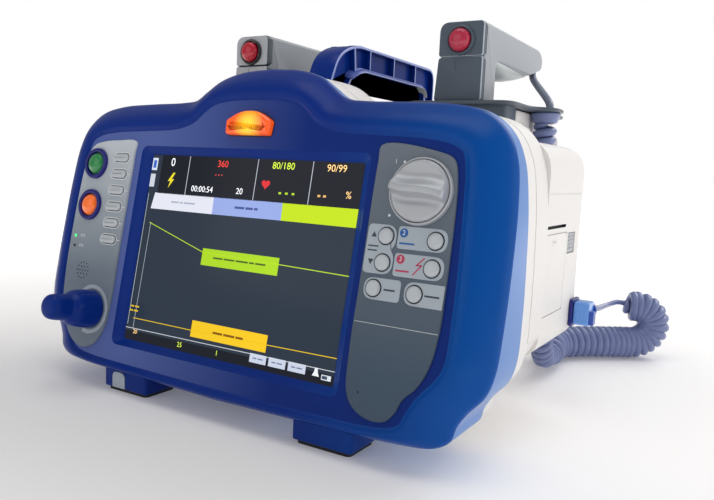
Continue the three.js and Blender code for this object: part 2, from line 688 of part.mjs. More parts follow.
// ---------------------------------------------------------------- paddles
function paddle(side, sideName) {
  const x = side * paddleX;
  const flangeZ0 = flangeTopZ - flangeThick;
  const flange = prism(roundedRect(x - flangeHalf, x + flangeHalf, flangeFrontY, flangeRearY, flangeCorner),
    flangeZ0, flangeTopZ, 5);
  const blockZ0 = flangeZ0 - electrodeBlock;
  const base = solid(flange)
    .add(cuboid(x - electrodeHalf, x + electrodeHalf, electrodeFrontY, electrodeRearY, blockZ0, flangeZ0 + 1))
    .add(cuboid(x - 35, x + 35, paddleFrontY + 1, paddleFrontY + 24, deckZ + 1, flangeZ0 + 1));
  addMesh(named, `paddle_base_${sideName}`, base, slate);
  addMesh(named, `electrode_${sideName}`, prism(roundedRect(x - electrodeHalf + 1, x + electrodeHalf - 1,
    electrodeFrontY + 1, electrodeRearY - 1, 8), blockZ0 - gap - electrodeThick, blockZ0 - gap, 4), metal);

  const post = prism(roundedRect(x - gripW / 2 - 1, x + gripW / 2 + 1, paddleFrontY,
    paddleFrontY + postDepth, 3), flangeTopZ + gap, gripUnderZ + 4, 3);
  const rearY = paddleFrontY + gripLength;
  const profile = new THREE.Shape();
  profile.moveTo(paddleFrontY, gripUnderZ);
  profile.lineTo(rearY - 18, gripUnderZ);
  profile.lineTo(rearY, gripUnderZ + 9);
  profile.lineTo(rearY, gripTopZ - 6);
  profile.lineTo(rearY - 7, gripTopZ);
  profile.lineTo(paddleFrontY + 3, gripTopZ);
  profile.lineTo(paddleFrontY, gripTopZ - 3);
  let grip = solid(prismAlongX(profile, x - gripW / 2, x + gripW / 2));
  grip = grip.add(solid(post));
  const bore = rod(fireButtonR + slack, 0, 16).rotateX(-Math.PI / 2)
    .translate(x, paddleFrontY - 1, fireButtonZ);
  grip = grip.subtract(solid(bore));
  addMesh(named, `paddle_grip_${sideName}`, grip, paddleGrey);

  const ring = washer(fireButtonR + 0.6, fireRingR, 0, 3).rotate([-90, 0, 0])
    .translate(x, paddleFrontY - 3 - gap, fireButtonZ);
  addMesh(named, `fire_ring_${sideName}`, ring, black);
  const button = turned([
    [0, -10], [fireButtonR, -10], [fireButtonR, 3.6], [fireButtonR * 0.86, 5.6], [fireButtonR * 0.5, 7],
    [0, 7.5],
  ]).rotateX(Math.PI / 2).translate(x, paddleFrontY, fireButtonZ);
  addMesh(named, `fire_button_${sideName}`, button, red);
}
paddle(-1, 'left');
paddle(1, 'right');

// ---------------------------------------------------------------- paddle cord
const leadR = 3.2;
const coilR = 14;
const hangR = 9.5;
const reliefX = 136.5;
const reliefY = 78;
const reliefTopZ = flangeTopZ - flangeThick - gap;
const reliefBottomZ = 194;

/** Round tube along a smooth curve through hand-placed points. */
function tube(points, radius, sides, steps) {
  const path = new THREE.CatmullRomCurve3(points.map((p) => new THREE.Vector3(...p)), false, 'centripetal');
  const section = new THREE.Shape();
  section.absarc(0, 0, radius, 0, Math.PI * 2, false);
  return new THREE.ExtrudeGeometry(section, { steps, curveSegments: sides, extrudePath: path });
}

addMesh(named, 'cord_relief', turned([
  [0, reliefBottomZ], [8, reliefBottomZ], [9.2, reliefBottomZ + 4], [9.2, reliefTopZ], [0, reliefTopZ],
]).translate(reliefX, reliefY, 0), cordBlue);

const gripLeadPoints = [
  [101, 130, gripUnderZ - 0.9], [101.3, 129.6, 236.5], [104, 126.5, 232], [112, 117, 226], [123, 102, 219], [132, 89, 217],
  [137.6, 81, 215], [139, 79, 211], [139, 79, reliefTopZ + gap + 0.2],
];
addMesh(named, 'grip_lead_right', tube(gripLeadPoints, 2.8, 8, 18), cordBlue);

const hangPoints = [
  [reliefX, reliefY, reliefBottomZ - gap], [reliefX, reliefY, 170], [138, 79, 120], [140, 84, 66],
  [141, 96, 34], [139, 112, 17.5], [138, 124, 14.6], [138, 127.5, 14.5],
];
addMesh(named, 'cord_coil_hanging', tube(hangPoints, hangR, 10, 16), cordBlue);

const coilPoints = [
  [138, 128.4, 14.5], [138, 131, 14.5], [136, 144, 14.6], [131, 160, 14.6], [133, 178, 14.6], [145, 195, 14.6], [163, 211, 14.6],
  [179, 224, 14.6], [190, 232, 15.2], [198.5, 238, 21.5], [201.5, 240.5, 31], [198.5, 240, 40.5], [191, 237.5, 46], [182, 234, 47.2],
];
addMesh(named, 'cord_coil', tube(coilPoints, coilR, 10, 30), cordBlue);

const plugX0 = housingSide + 2.9;
const plugX1 = plugX0 + 14;
const cordLeadPoints = [
  [181.1, 233.65, 47.3], [173, 230.2, 48.6], [168.5, 222, 49.4], [168, 205, 50.4], [170, 180, 53.2], [175, 140, 58.6],
  [180, 100, 64.2], [183, 77, 68.4], [184, 66, 70], [184, 57.2, 70],
];
addMesh(named, 'cord_lead', tube(cordLeadPoints, leadR, 8, 44), cordBlue);
addMesh(named, 'cord_plug', prismAlongX(roundedRect(socketY - 8, socketY + 8, socketZ - 8, socketZ + 8, 3),
  plugX0, plugX1, 3), clearBlue);
addMesh(named, 'paddle_socket', solid(rod(socketR, housingSide - 16, housingSide + 0.5)
  .rotateY(Math.PI / 2).translate(0, socketY, socketZ))
  .add(solid(prismAlongX(roundedRect(socketY - 9.5, socketY + 9.5, socketZ - 9.5, socketZ + 9.5, 3),
    housingSide + gap, housingSide + 2.6, 3))), blue);

export default named;
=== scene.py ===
"""Monitor-defibrillator with two lift-off paddles: the finished look, in metres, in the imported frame."""

import json
import logging
import math
from collections.abc import Sequence
from dataclasses import dataclass, field
from enum import Enum

import bpy
import numpy as np
from bpy.types import Material, NodeTree, Object
from mathutils import Matrix, Vector


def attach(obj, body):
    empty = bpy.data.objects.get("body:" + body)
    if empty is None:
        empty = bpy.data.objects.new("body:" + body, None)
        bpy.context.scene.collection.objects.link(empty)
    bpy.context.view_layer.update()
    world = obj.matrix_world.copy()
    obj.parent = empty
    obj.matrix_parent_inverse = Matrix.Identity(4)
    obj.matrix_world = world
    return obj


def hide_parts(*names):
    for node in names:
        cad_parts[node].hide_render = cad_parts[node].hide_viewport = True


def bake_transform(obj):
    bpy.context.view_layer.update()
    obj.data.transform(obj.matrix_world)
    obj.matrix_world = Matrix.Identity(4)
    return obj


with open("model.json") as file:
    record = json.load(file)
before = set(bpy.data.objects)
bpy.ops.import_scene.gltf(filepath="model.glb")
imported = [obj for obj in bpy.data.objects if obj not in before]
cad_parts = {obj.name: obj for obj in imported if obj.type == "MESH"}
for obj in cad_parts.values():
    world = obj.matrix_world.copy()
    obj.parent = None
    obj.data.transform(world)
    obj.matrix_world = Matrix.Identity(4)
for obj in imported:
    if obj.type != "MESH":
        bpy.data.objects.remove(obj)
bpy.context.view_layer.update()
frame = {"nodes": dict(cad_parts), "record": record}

log = logging.getLogger("defibrillator")
Array = np.ndarray
RGB = tuple[float, float, float]
Pair = tuple[float, float]
MM = 0.001

TILT = math.radians(11.2)
PANEL_Y = -110.0
SCREEN_Z = 101.6
ROOT = "unit"
CREASE = 32.0
CUT_CREASE = 28.0
SENSOR_WIDTH = 36.0


def place(right: Sequence[float], up: Sequence[float], out: Sequence[float], origin: Sequence[float]) -> Array:
    """Matrix that takes local x, y, z to three row directions about an origin.

    Args:
        right: Row direction of local x.
        up: Row direction of local y.
        out: Row direction of local z.
        origin: Row point of the local origin, in millimetres.

    Returns:
        A 4 by 4 matrix.
    """
    matrix = np.eye(4)
    matrix[:3, :3] = np.array([right, up, out], float).T
    matrix[:3, 3] = origin
    return matrix


SIN_T, COS_T = math.sin(TILT), math.cos(TILT)
PANEL = place((1, 0, 0), (0, SIN_T, COS_T), (0, -COS_T, SIN_T), (0, PANEL_Y, SCREEN_Z))
UPRIGHT = np.eye(4)
ALONG_X = place((0, 1, 0), (0, 0, 1), (1, 0, 0), (0, 0, 0))
BACKWARD = place((-1, 0, 0), (0, 0, 1), (0, 1, 0), (0, 0, 0))


def on_panel(u: float, v: float, n: float = 0.0) -> Array:
    """Panel matrix moved to a place on the panel, in millimetres."""
    return PANEL @ shift(u, v, n)


def shift(x: float, y: float, z: float) -> Array:
    """Matrix of a plain move."""
    matrix = np.eye(4)
    matrix[:3, 3] = (x, y, z)
    return matrix


def spin(angle: float) -> Array:
    """Matrix of a turn about local z by an angle in radians."""
    matrix = np.eye(4)
    c, s = math.cos(angle), math.sin(angle)
    matrix[:2, :2] = [[c, -s], [s, c]]
    return matrix


# ------------------------------------------------------------------ outlines


def catmull(points: Sequence[Sequence[float]], per_span: int, closed: bool = False) -> Array:
    """Smooth curve through points: centripetal Catmull-Rom, each span a cubic of its four nearest points.

    Args:
        points: Points of two or three numbers.
        per_span: Samples in each span.
        closed: Whether the last point joins the first.

    Returns:
        Sampled points, one row each; an open curve keeps its last point.
    """
    p = np.asarray(points, float)
    if closed:
        ring = np.vstack([p[-1], p, p[0], p[1]])
    else:
        ring = np.vstack([2 * p[0] - p[1], p, 2 * p[-1] - p[-2]])
    a, b, c, d = ring[:-3], ring[1:-2], ring[2:-1], ring[3:]
    step = lambda one, two: np.maximum(np.linalg.norm(two - one, axis=1), 1e-6)[:, None] ** 0.5
    ab, bc, cd = step(a, b), step(b, c), step(c, d)
    slope_b = (b - a) / ab - (c - a) / (ab + bc) + (c - b) / bc
    slope_c = (c - b) / bc - (d - b) / (bc + cd) + (d - c) / cd
    t = (np.arange(per_span) / per_span)[None, :, None]
    m0, m1 = (slope_b * bc)[:, None], (slope_c * bc)[:, None]
    p0, p1 = b[:, None], c[:, None]
    out = (2 * t**3 - 3 * t**2 + 1) * p0 + (t**3 - 2 * t**2 + t) * m0
    out = out + (3 * t**2 - 2 * t**3) * p1 + (t**3 - t**2) * m1
    flat = out.reshape(-1, p.shape[1])
    return flat if closed else np.vstack([flat, p[-1]])


def rounded_rect(x0: float, x1: float, y0: float, y1: float, r: float, arc: int = 8, side: int = 1) -> Array:
    """Anticlockwise rectangle with quarter-circle corners.

    Args:
        x0: Left edge.
        x1: Right edge.
        y0: Lower edge.
        y1: Upper edge.
        r: Corner radius.
        arc: Spans in each corner.
        side: Spans in each straight side.

    Returns:
        Outline points, the corner arcs joined by the straight sides.
    """
    r = min(r, (x1 - x0) / 2 - 1e-4, (y1 - y0) / 2 - 1e-4)
    centres = np.array([(x1 - r, y0 + r), (x1 - r, y1 - r), (x0 + r, y1 - r), (x0 + r, y0 + r)])
    angles = np.linspace(0, math.pi / 2, arc + 1)
    starts = np.array([-math.pi / 2, 0, math.pi / 2, math.pi])
    turn = starts[:, None] + angles[None, :]
    arcs = centres[:, None, :] + r * np.stack([np.cos(turn), np.sin(turn)], axis=2)
    follow = np.roll(arcs[:, 0], -1, axis=0)
    share = (np.arange(1, side) / side)[None, :, None]
    sides = arcs[:, -1:] * (1 - share) + follow[:, None] * share
    return np.concatenate([arcs, sides], axis=1).reshape(-1, 2)


def circle(radius: float, count: int = 48) -> Array:
    """Anticlockwise circle about the origin."""
    a = np.linspace(0, 2 * math.pi, count, endpoint=False)
    return radius * np.stack([np.cos(a), np.sin(a)], axis=1)


def rounded_corners(points: Sequence[Sequence[float]], steps: int = 6) -> Array:
    """Polygon whose corners are rounded by quadratic arcs.

    Args:
        points: Corners as (x, y, radius), anticlockwise.
        steps: Spans in each rounded corner.

    Returns:
        Outline points: each corner is a Bezier arc between its two tangent points.
    """
    p = np.asarray(points, float)
    xy, r = p[:, :2], p[:, 2:3]
    to_last = np.roll(xy, 1, axis=0) - xy
    to_next = np.roll(xy, -1, axis=0) - xy
    one = xy + to_last / np.linalg.norm(to_last, axis=1)[:, None] * r
    two = xy + to_next / np.linalg.norm(to_next, axis=1)[:, None] * r
    t = np.linspace(0, 1, steps + 1)[None, :, None]
    arcs = (1 - t) ** 2 * one[:, None] + 2 * t * (1 - t) * xy[:, None] + t**2 * two[:, None]
    return arcs.reshape(-1, 2)


def outward(outline: Array) -> Array:
    """Unit normals of an anticlockwise outline: its tangent turned a quarter turn clockwise."""
    along = np.roll(outline, -1, axis=0) - np.roll(outline, 1, axis=0)
    along /= np.maximum(np.linalg.norm(along, axis=1), 1e-9)[:, None]
    return np.stack([along[:, 1], -along[:, 0]], axis=1)


def inset(outline: Array, distance: float) -> Array:
    """Outline moved inwards along its normals."""
    return outline - outward(outline) * distance


def by_angle(guide: Array, target: Array, centre: Pair = (0.0, 0.0)) -> Array:
    """Points of one outline at the angles of another, so that the two can be skinned.

    Args:
        guide: Outline that gives the angles.
        target: Outline that is sampled.
        centre: Point that both outlines go round.

    Returns:
        One target point for each guide point, interpolated over the angle.
    """
    c = np.array(centre)
    g, t = guide - c, target - c
    want = np.arctan2(g[:, 1], g[:, 0])
    have = np.arctan2(t[:, 1], t[:, 0])
    order = np.argsort(have)
    have, t = have[order], t[order]
    have3 = np.concatenate([have - 2 * math.pi, have, have + 2 * math.pi])
    reach = np.tile(np.stack([t[:, 0], t[:, 1]], axis=1), (3, 1))
    return c + np.stack([np.interp(want, have3, reach[:, k]) for k in (0, 1)], axis=1)


def fillet(radius: float, top: float, steps: int = 4) -> list[Pair]:
    """(inset, height) profile of a quarter round that ends on a flat top."""
    a = [math.pi / 2 * i / steps for i in range(steps + 1)]
    return [(radius * (1 - math.cos(x)), top - radius * (1 - math.sin(x))) for x in a]


def pillow(low: float, high: float, radius: float, steps: int = 4) -> list[Pair]:
    """(inset, height) profile rounded at its foot and its top."""
    foot = [(x, low + high - z) for x, z in reversed(fillet(radius, high, steps))]
    return foot + fillet(radius, high, steps)


# ------------------------------------------------------------------ meshes


class Form:
    """A mesh being put together in millimetres: points, faces and a finish number for each face."""

    def __init__(self) -> None:
        """Starts with nothing in it."""
        self.points: list[Array] = []
        self.faces: list[Sequence[int]] = []
        self.finish: list[int] = []
        self.uvs: list[Array] = []
        self.count = 0

    def grid(
        self, rings: Array, matrix: Array = UPRIGHT, finish: int = 0, wrap: bool = True,
        start: bool = False, end: bool = False, uv: Array | None = None,
    ) -> "Form":
        """Adds a skin over rings of points.

        Args:
            rings: Points as (rows, columns, 3); columns turn anticlockwise seen from the last row.
            matrix: Local to row matrix.
            finish: Finish number.
            wrap: Whether the last column joins the first.
            start: Whether the first ring is closed by a face.
            end: Whether the last ring is closed by a face.
            uv: Pattern coordinates as (rows, columns, 2).

        Returns:
            The form itself.
        """
        rows, cols = rings.shape[:2]
        flat = rings.reshape(-1, 3) @ matrix[:3, :3].T + matrix[:3, 3]
        self.points.append(flat)
        self.uvs.append(np.zeros((rows * cols, 2)) if uv is None else uv.reshape(-1, 2))
        last = cols if wrap else cols - 1
        i, j = np.meshgrid(np.arange(rows - 1), np.arange(last), indexing="ij")
        k = (j + 1) % cols
        quads = np.stack([i * cols + j, i * cols + k, (i + 1) * cols + k, (i + 1) * cols + j], axis=2)
        quads = quads.reshape(-1, 4) + self.count
        self.faces.extend(quads.tolist())
        added = len(quads)
        if start:
            self.faces.append((np.arange(cols)[::-1] + self.count).tolist())
            added += 1
        if end:
            self.faces.append((np.arange(cols) + (rows - 1) * cols + self.count).tolist())
            added += 1
        self.finish.extend([finish] * added)
        self.count += rows * cols
        return self

    def raised(
        self, outline: Array, profile: Sequence[Pair], matrix: Array = UPRIGHT, finish: int = 0,
        start: bool = True, end: bool = True,
    ) -> "Form":
        """Adds an outline carried up a profile: each row is the outline inset and lifted.

        Args:
            outline: Anticlockwise outline.
            profile: Rows as (inset, height).
            matrix: Local to row matrix.
            finish: Finish number.
            start: Whether the bottom is closed.
            end: Whether the top is closed.

        Returns:
            The form itself.
        """
        normals = outward(outline)
        steps = np.array(profile, float)
        flat = outline[None] - normals[None] * steps[:, :1, None]
        height = np.broadcast_to(steps[:, 1][:, None, None], flat.shape[:2] + (1,))
        return self.grid(np.concatenate([flat, height], axis=2), matrix, finish, True, start, end)

    def turned(
        self, profile: Sequence[Pair], matrix: Array = UPRIGHT, finish: int = 0, count: int = 48,
        start: bool = True, end: bool = True,
    ) -> "Form":
        """Adds a turned shape: each (radius, height) row is a circle about local z."""
        steps = np.array(profile, float)
        ring = circle(1.0, count)
        flat = ring[None] * np.maximum(steps[:, :1, None], 1e-3)
        height = np.broadcast_to(steps[:, 1][:, None, None], flat.shape[:2] + (1,))
        return self.grid(np.concatenate([flat, height], axis=2), matrix, finish, True, start, end)

    def block(
        self, low: Sequence[float], high: Sequence[float], edge: float, finish: int = 0, corner: float | None = None,
    ) -> "Form":
        """Adds a box with rounded edges, its rounded outline seen from above."""
        outline = rounded_rect(low[0], high[0], low[1], high[1], max(corner or edge, edge + 0.01), 6)
        return self.raised(outline, pillow(low[2], high[2], edge), UPRIGHT, finish)

    def tube(
        self, path: Array, radius: Array | float, count: int = 10, finish: int = 0, caps: bool = True,
    ) -> "Form":
        """Adds a round tube along a path: each ring stands square to the path in a frame that turns least.

        Args:
            path: Centre points in millimetres.
            radius: One radius, or one for each point.
            count: Points in each ring.
            finish: Finish number.
            caps: Whether both ends are closed.

        Returns:
            The form itself.
        """
        tangent = np.gradient(path, axis=0)
        tangent /= np.linalg.norm(tangent, axis=1)[:, None]
        side = least_turning(tangent)
        other = np.cross(tangent, side)
        a = np.linspace(0, 2 * math.pi, count, endpoint=False)
        r = np.broadcast_to(np.asarray(radius, float), (len(path),))[:, None, None]
        rings = path[:, None] + r * (
            np.cos(a)[None, :, None] * side[:, None] + np.sin(a)[None, :, None] * other[:, None])
        run = np.concatenate([[0], np.cumsum(np.linalg.norm(np.diff(path, axis=0), axis=1))])
        uv = np.stack(np.broadcast_arrays(run[:, None] * MM, (a / (2 * math.pi))[None]), axis=2)
        return self.grid(rings, UPRIGHT, finish, True, caps, caps, uv)

    def plate(self, outline: Array, height: float, matrix: Array = UPRIGHT, finish: int = 0) -> "Form":
        """Adds one flat face."""
        ring = np.concatenate([outline, np.full((len(outline), 1), height)], axis=1)
        self.points.append(ring @ matrix[:3, :3].T + matrix[:3, 3])
        self.uvs.append(np.zeros((len(outline), 2)))
        self.faces.append((np.arange(len(outline)) + self.count).tolist())
        self.finish.append(finish)
        self.count += len(outline)
        return self

    def build(self, name: str, finishes: Sequence[Material], crease: float = CREASE) -> Object:
        """Makes the piece.

        Args:
            name: Piece name.
            finishes: Materials by finish number.
            crease: Edges sharper than this stay hard, in degrees.

        Returns:
            An object at the origin, with its place in its mesh.
        """
        mesh = bpy.data.meshes.new(name)
        mesh.from_pydata((np.vstack(self.points) * MM).tolist(), [], self.faces)
        for material in finishes:
            mesh.materials.append(material)
        mesh.polygons.foreach_set("material_index", np.array(self.finish, np.int32))
        loops = np.empty(len(mesh.loops), np.int32)
        mesh.loops.foreach_get("vertex_index", loops)
        layer = mesh.uv_layers.new(name="along")
        layer.data.foreach_set("uv", np.vstack(self.uvs)[loops].astype(np.float32).ravel())
        mesh.shade_smooth()
        mesh.set_sharp_from_angle(angle=math.radians(crease))
        mesh.validate()
        mesh.update()
        piece = bpy.data.objects.new(name, mesh)
        bpy.context.scene.collection.objects.link(piece)
        return piece


def least_turning(tangent: Array) -> Array:
    """Side directions that turn least along a path: the first one is carried on, minus what points along the path."""
    side = np.empty_like(tangent)
    seed = np.array([0.0, 0.0, 1.0]) if abs(tangent[0, 2]) < 0.9 else np.array([1.0, 0.0, 0.0])
    held = seed - tangent[0] * (seed @ tangent[0])
    side[0] = held / np.linalg.norm(held)
    for i in range(1, len(tangent)):
        held = side[i - 1] - tangent[i] * (side[i - 1] @ tangent[i])
        side[i] = held / np.linalg.norm(held)
    return side


def even(path: Array, step: float) -> Array:
    """Path sampled again at even distances along it."""
    run = np.concatenate([[0], np.cumsum(np.linalg.norm(np.diff(path, axis=0), axis=1))])
    count = max(int(round(run[-1] / step)), 2)
    at = np.linspace(0, run[-1], count + 1)
    return np.stack([np.interp(at, run, path[:, k]) for k in range(3)], axis=1)


def cut(piece: Object, cutter: Form) -> Object:
    """Takes the cutter out of a piece, then sets smooth shading and hard edges again."""
    tool = cutter.build(f"{piece.name}_cutter", list(piece.data.materials))
    change = piece.modifiers.new("cut", "BOOLEAN")
    change.operation = "DIFFERENCE"
    change.solver = "MANIFOLD"
    change.object = tool
    settle(piece)
    piece.data.shade_smooth()
    piece.data.set_sharp_from_angle(angle=math.radians(CUT_CREASE))
    bpy.data.objects.remove(tool, do_unlink=True)
    return piece


def settle(piece: Object) -> Object:
    """Applies the piece's modifiers to its mesh."""
    graph = bpy.context.evaluated_depsgraph_get()
    done = bpy.data.meshes.new_from_object(piece.evaluated_get(graph), preserve_all_data_layers=True, depsgraph=graph)
    piece.modifiers.clear()
    piece.data = done
    done.name = piece.name
    return piece


def soften(piece: Object, width: float, angle: float = 40.0, segments: int = 2) -> Object:
    """Rounds the piece's sharp edges by a width in millimetres."""
    change = piece.modifiers.new("edges", "BEVEL")
    change.width = width * MM
    change.segments = segments
    change.limit_method = "ANGLE"
    change.angle_limit = math.radians(angle)
    change.harden_normals = True
    return piece


def finished(piece: Object, body: str, nodes: Sequence[str] = ()) -> Object:
    """Lets a piece ride on its body, hides the CAD nodes it stands for, and logs it."""
    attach(piece, body)
    if nodes:
        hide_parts(*nodes)
    log.info("%s: %d faces on %s", piece.name, len(piece.data.polygons), body)
    return piece


# ------------------------------------------------------------------ finishes


def linear(colour: Sequence[float]) -> tuple[float, float, float, float]:
    """Display colour 0 to 255 as linear light: the standard curve, a power of 2.4 above its straight foot."""
    part = [c / 255 for c in colour]
    return (*[c / 12.92 if c <= 0.04045 else ((c + 0.055) / 1.055) ** 2.4 for c in part], 1.0)


class Graph:
    """Short way to add and join nodes in a material or a group."""

    def __init__(self, tree: NodeTree) -> None:
        """Keeps the tree."""
        self.tree = tree

    def add(self, kind: str, inputs: dict[str | int, object] | None = None, **settings: object) -> bpy.types.Node:
        """Adds a node.

        Args:
            kind: Node class name without its ShaderNode start.
            inputs: Values or sockets by input name or number.
            settings: Node properties.

        Returns:
            The node.
        """
        node = self.tree.nodes.new("ShaderNode" + kind)
        for key, value in settings.items():
            setattr(node, key, value)
        for key, value in (inputs or {}).items():
            if isinstance(value, bpy.types.NodeSocket):
                self.tree.links.new(value, node.inputs[key])
            else:
                node.inputs[key].default_value = value
        return node

    def mix(self, share: object, one: object, two: object, blend: str = "MIX") -> bpy.types.NodeSocket:
        """Mixes two colours by a share, and returns the colour socket."""
        node = self.add("Mix", data_type="RGBA", blend_type=blend)
        for number, value in ((0, share), (6, one), (7, two)):
            if isinstance(value, bpy.types.NodeSocket):
                self.tree.links.new(value, node.inputs[number])
            else:
                node.inputs[number].default_value = value
        return node.outputs[2]

    def calc(self, what: str, one: object, two: object = 0.0, clamp: bool = False) -> bpy.types.NodeSocket:
        """One Math node; returns its value socket."""
        return self.add("Math", {0: one, 1: two}, operation=what, use_clamp=clamp).outputs[0]

    def remap(self, value: object, low: float, high: float, to_low: float, to_high: float) -> bpy.types.NodeSocket:
        """Maps a range onto another, clamped."""
        return self.add("MapRange", {0: value, 1: low, 2: high, 3: to_low, 4: to_high}).outputs[0]


def moulded_group() -> NodeTree:
    """Node group for moulded plastic: slow colour drift, worn-in roughness patches and fine spark-eroded grain.

    Returns:
        The group, with outputs Color, Roughness and Height.
    """
    tree = bpy.data.node_groups.new("moulded_surface", "ShaderNodeTree")
    sockets = tree.interface
    for label, kind, default in (
        ("Color", "NodeSocketColor", (0.5, 0.5, 0.5, 1)), ("Drift", "NodeSocketFloat", 0.06),
        ("Roughness", "NodeSocketFloat", 0.4), ("Patches", "NodeSocketFloat", 0.08),
        ("Grain size", "NodeSocketFloat", 1400.0), ("Dust", "NodeSocketFloat", 0.0),
    ):
        sockets.new_socket(label, in_out="INPUT", socket_type=kind).default_value = default
    for label, kind in (("Color", "NodeSocketColor"), ("Roughness", "NodeSocketFloat"), ("Height", "NodeSocketFloat")):
        sockets.new_socket(label, in_out="OUTPUT", socket_type=kind)
    g = Graph(tree)
    given = tree.nodes.new("NodeGroupInput").outputs
    out = tree.nodes.new("NodeGroupOutput").inputs
    where = g.add("TexCoord").outputs["Object"]
    slow = g.add("TexNoise", {"Vector": where, "Scale": 14.0, "Detail": 3.0}).outputs["Fac"]
    patches = g.add("TexNoise", {"Vector": where, "Scale": 55.0, "Detail": 4.0, "Roughness": 0.65}).outputs["Fac"]
    grain = g.add("TexNoise", {"Vector": where, "Scale": given["Grain size"], "Detail": 2.0}).outputs["Fac"]
    pits = g.add("TexVoronoi", {"Vector": where, "Scale": given["Grain size"]}).outputs["Distance"]
    drift = g.calc("MULTIPLY", g.calc("SUBTRACT", slow, 0.5), given["Drift"])
    tone = g.add("HueSaturation", {"Color": given["Color"], "Value": g.calc("ADD", drift, 1.0)}).outputs[0]
    normal = g.add("SeparateXYZ", {0: g.add("NewGeometry").outputs["Normal"]}).outputs["Z"]
    settled = g.calc("MULTIPLY", g.remap(normal, 0.6, 1.0, 0, 1), g.calc("MULTIPLY", patches, given["Dust"]))
    tree.links.new(g.mix(settled, tone, (0.75, 0.74, 0.72, 1)), out["Color"])
    rough = g.calc("MULTIPLY", g.calc("SUBTRACT", patches, 0.5), given["Patches"])
    tree.links.new(g.calc("ADD", g.calc("ADD", given["Roughness"], rough), settled, True), out["Roughness"])
    tree.links.new(g.calc("ADD", grain, g.calc("MULTIPLY", pits, 0.5)), out["Height"])
    return tree


MOULDED = moulded_group()


@dataclass(frozen=True)
class Finish:
    """A moulded, painted or metal finish made from the shared moulded-surface group."""

    name: str
    colour: RGB
    rough: float = 0.4
    metal: float = 0.0
    coat: float = 0.0
    drift: float = 0.08
    patches: float = 0.08
    grain: float = 1500.0
    relief: float = 0.03
    dust: float = 0.02
    specular: float = 0.5
    glow: float = 0.0

    def shader(self) -> tuple[Material, Graph, bpy.types.Node, bpy.types.Node]:
        """Builds the material and returns it with its graph, its group node and its shader node."""
        material = bpy.data.materials.new(self.name)
        material.use_nodes = True
        tree = material.node_tree
        g = Graph(tree)
        surface = tree.nodes["Principled BSDF"]
        group = tree.nodes.new("ShaderNodeGroup")
        group.node_tree = MOULDED
        for label, value in (
            ("Color", linear(self.colour)), ("Drift", self.drift), ("Roughness", self.rough),
            ("Patches", self.patches), ("Grain size", self.grain), ("Dust", self.dust),
        ):
            group.inputs[label].default_value = value
        tree.links.new(group.outputs["Color"], surface.inputs["Base Color"])
        tree.links.new(group.outputs["Roughness"], surface.inputs["Roughness"])
        bump = g.add("Bump", {"Height": group.outputs["Height"], "Strength": self.relief, "Distance": 0.0002})
        tree.links.new(bump.outputs[0], surface.inputs["Normal"])
        surface.inputs["Metallic"].default_value = self.metal
        surface.inputs["Coat Weight"].default_value = self.coat
        surface.inputs["Coat Roughness"].default_value = 0.12
        surface.inputs["Specular IOR Level"].default_value = self.specular
        if self.glow:
            tree.links.new(group.outputs["Color"], surface.inputs["Emission Color"])
            surface.inputs["Emission Strength"].default_value = self.glow
        return material, g, group, surface

    def make(self) -> Material:
        """The finished material."""
        return self.shader()[0]


@dataclass(frozen=True)
class PaintedLightGrade(Finish):
    """A finish whose colour runs between two tones along a row direction; every use here is painted light: lit sides,
    lit tops and painted reflections.
    """

    far_colour: RGB = (0, 0, 0)
    axis: tuple[float, float, float] = (0, 0, 1)
    low: float = 0.0
    high: float = 0.2

    def make(self) -> Material:
        """Adds the run: the place along the axis, as a share of its span, mixes the two colours."""
        material, g, group, _ = self.shader()
        along = g.add("VectorMath", {0: g.add("TexCoord").outputs["Object"], 1: self.axis}, operation="DOT_PRODUCT")
        share = g.remap(along.outputs["Value"], self.low, self.high, 0, 1)
        mixed = g.mix(share, linear(self.colour), linear(self.far_colour))
        material.node_tree.links.new(mixed, group.inputs["Color"])
        return material


@dataclass(frozen=True)
class Brushed(Finish):
    """Brushed metal: streaks come from noise stretched along x."""

    def make(self) -> Material:
        """Adds the streaks to the colour."""
        material, g, group, _ = self.shader()
        stretch = g.add("Mapping", {0: g.add("TexCoord").outputs["Object"], 3: (20, 1600, 1600)})
        streak = g.add("TexNoise", {"Vector": stretch.outputs[0], "Scale": 1.0, "Detail": 3.0}).outputs["Fac"]
        base = linear(self.colour)
        dark = tuple(0.7 * c for c in base[:3]) + (1.0,)
        material.node_tree.links.new(g.mix(streak, dark, base), group.inputs["Color"])
        return material


@dataclass(frozen=True)
class Lamp(Finish):
    """Lit amber lens: a yellow glow round the bulb that falls off to deep orange."""

    centre: tuple[float, float, float] = (0, 0, 0)
    reach: float = 0.012

    def make(self) -> Material:
        """Adds the glow: the distance from the bulb mixes yellow into orange, and both shine."""
        material, g, group, surface = self.shader()
        moved = g.add("VectorMath", {0: g.add("TexCoord").outputs["Object"], 1: self.centre}, operation="DISTANCE")
        share = g.remap(moved.outputs["Value"], self.reach * 0.25, self.reach, 0, 1)
        flutes = g.add("TexWave", {"Vector": g.add("TexCoord").outputs["Object"], "Scale": 160.0}).outputs["Fac"]
        near = g.mix(g.calc("MULTIPLY", flutes, 0.25), linear((255, 205, 20)), linear((255, 150, 5)))
        mixed = g.mix(share, near, linear((232, 82, 8)))
        material.node_tree.links.new(mixed, group.inputs["Color"])
        material.node_tree.links.new(mixed, surface.inputs["Emission Color"])
        surface.inputs["Emission Strength"].default_value = 0.6
        surface.inputs["Coat Weight"].default_value = 0.8
        return material


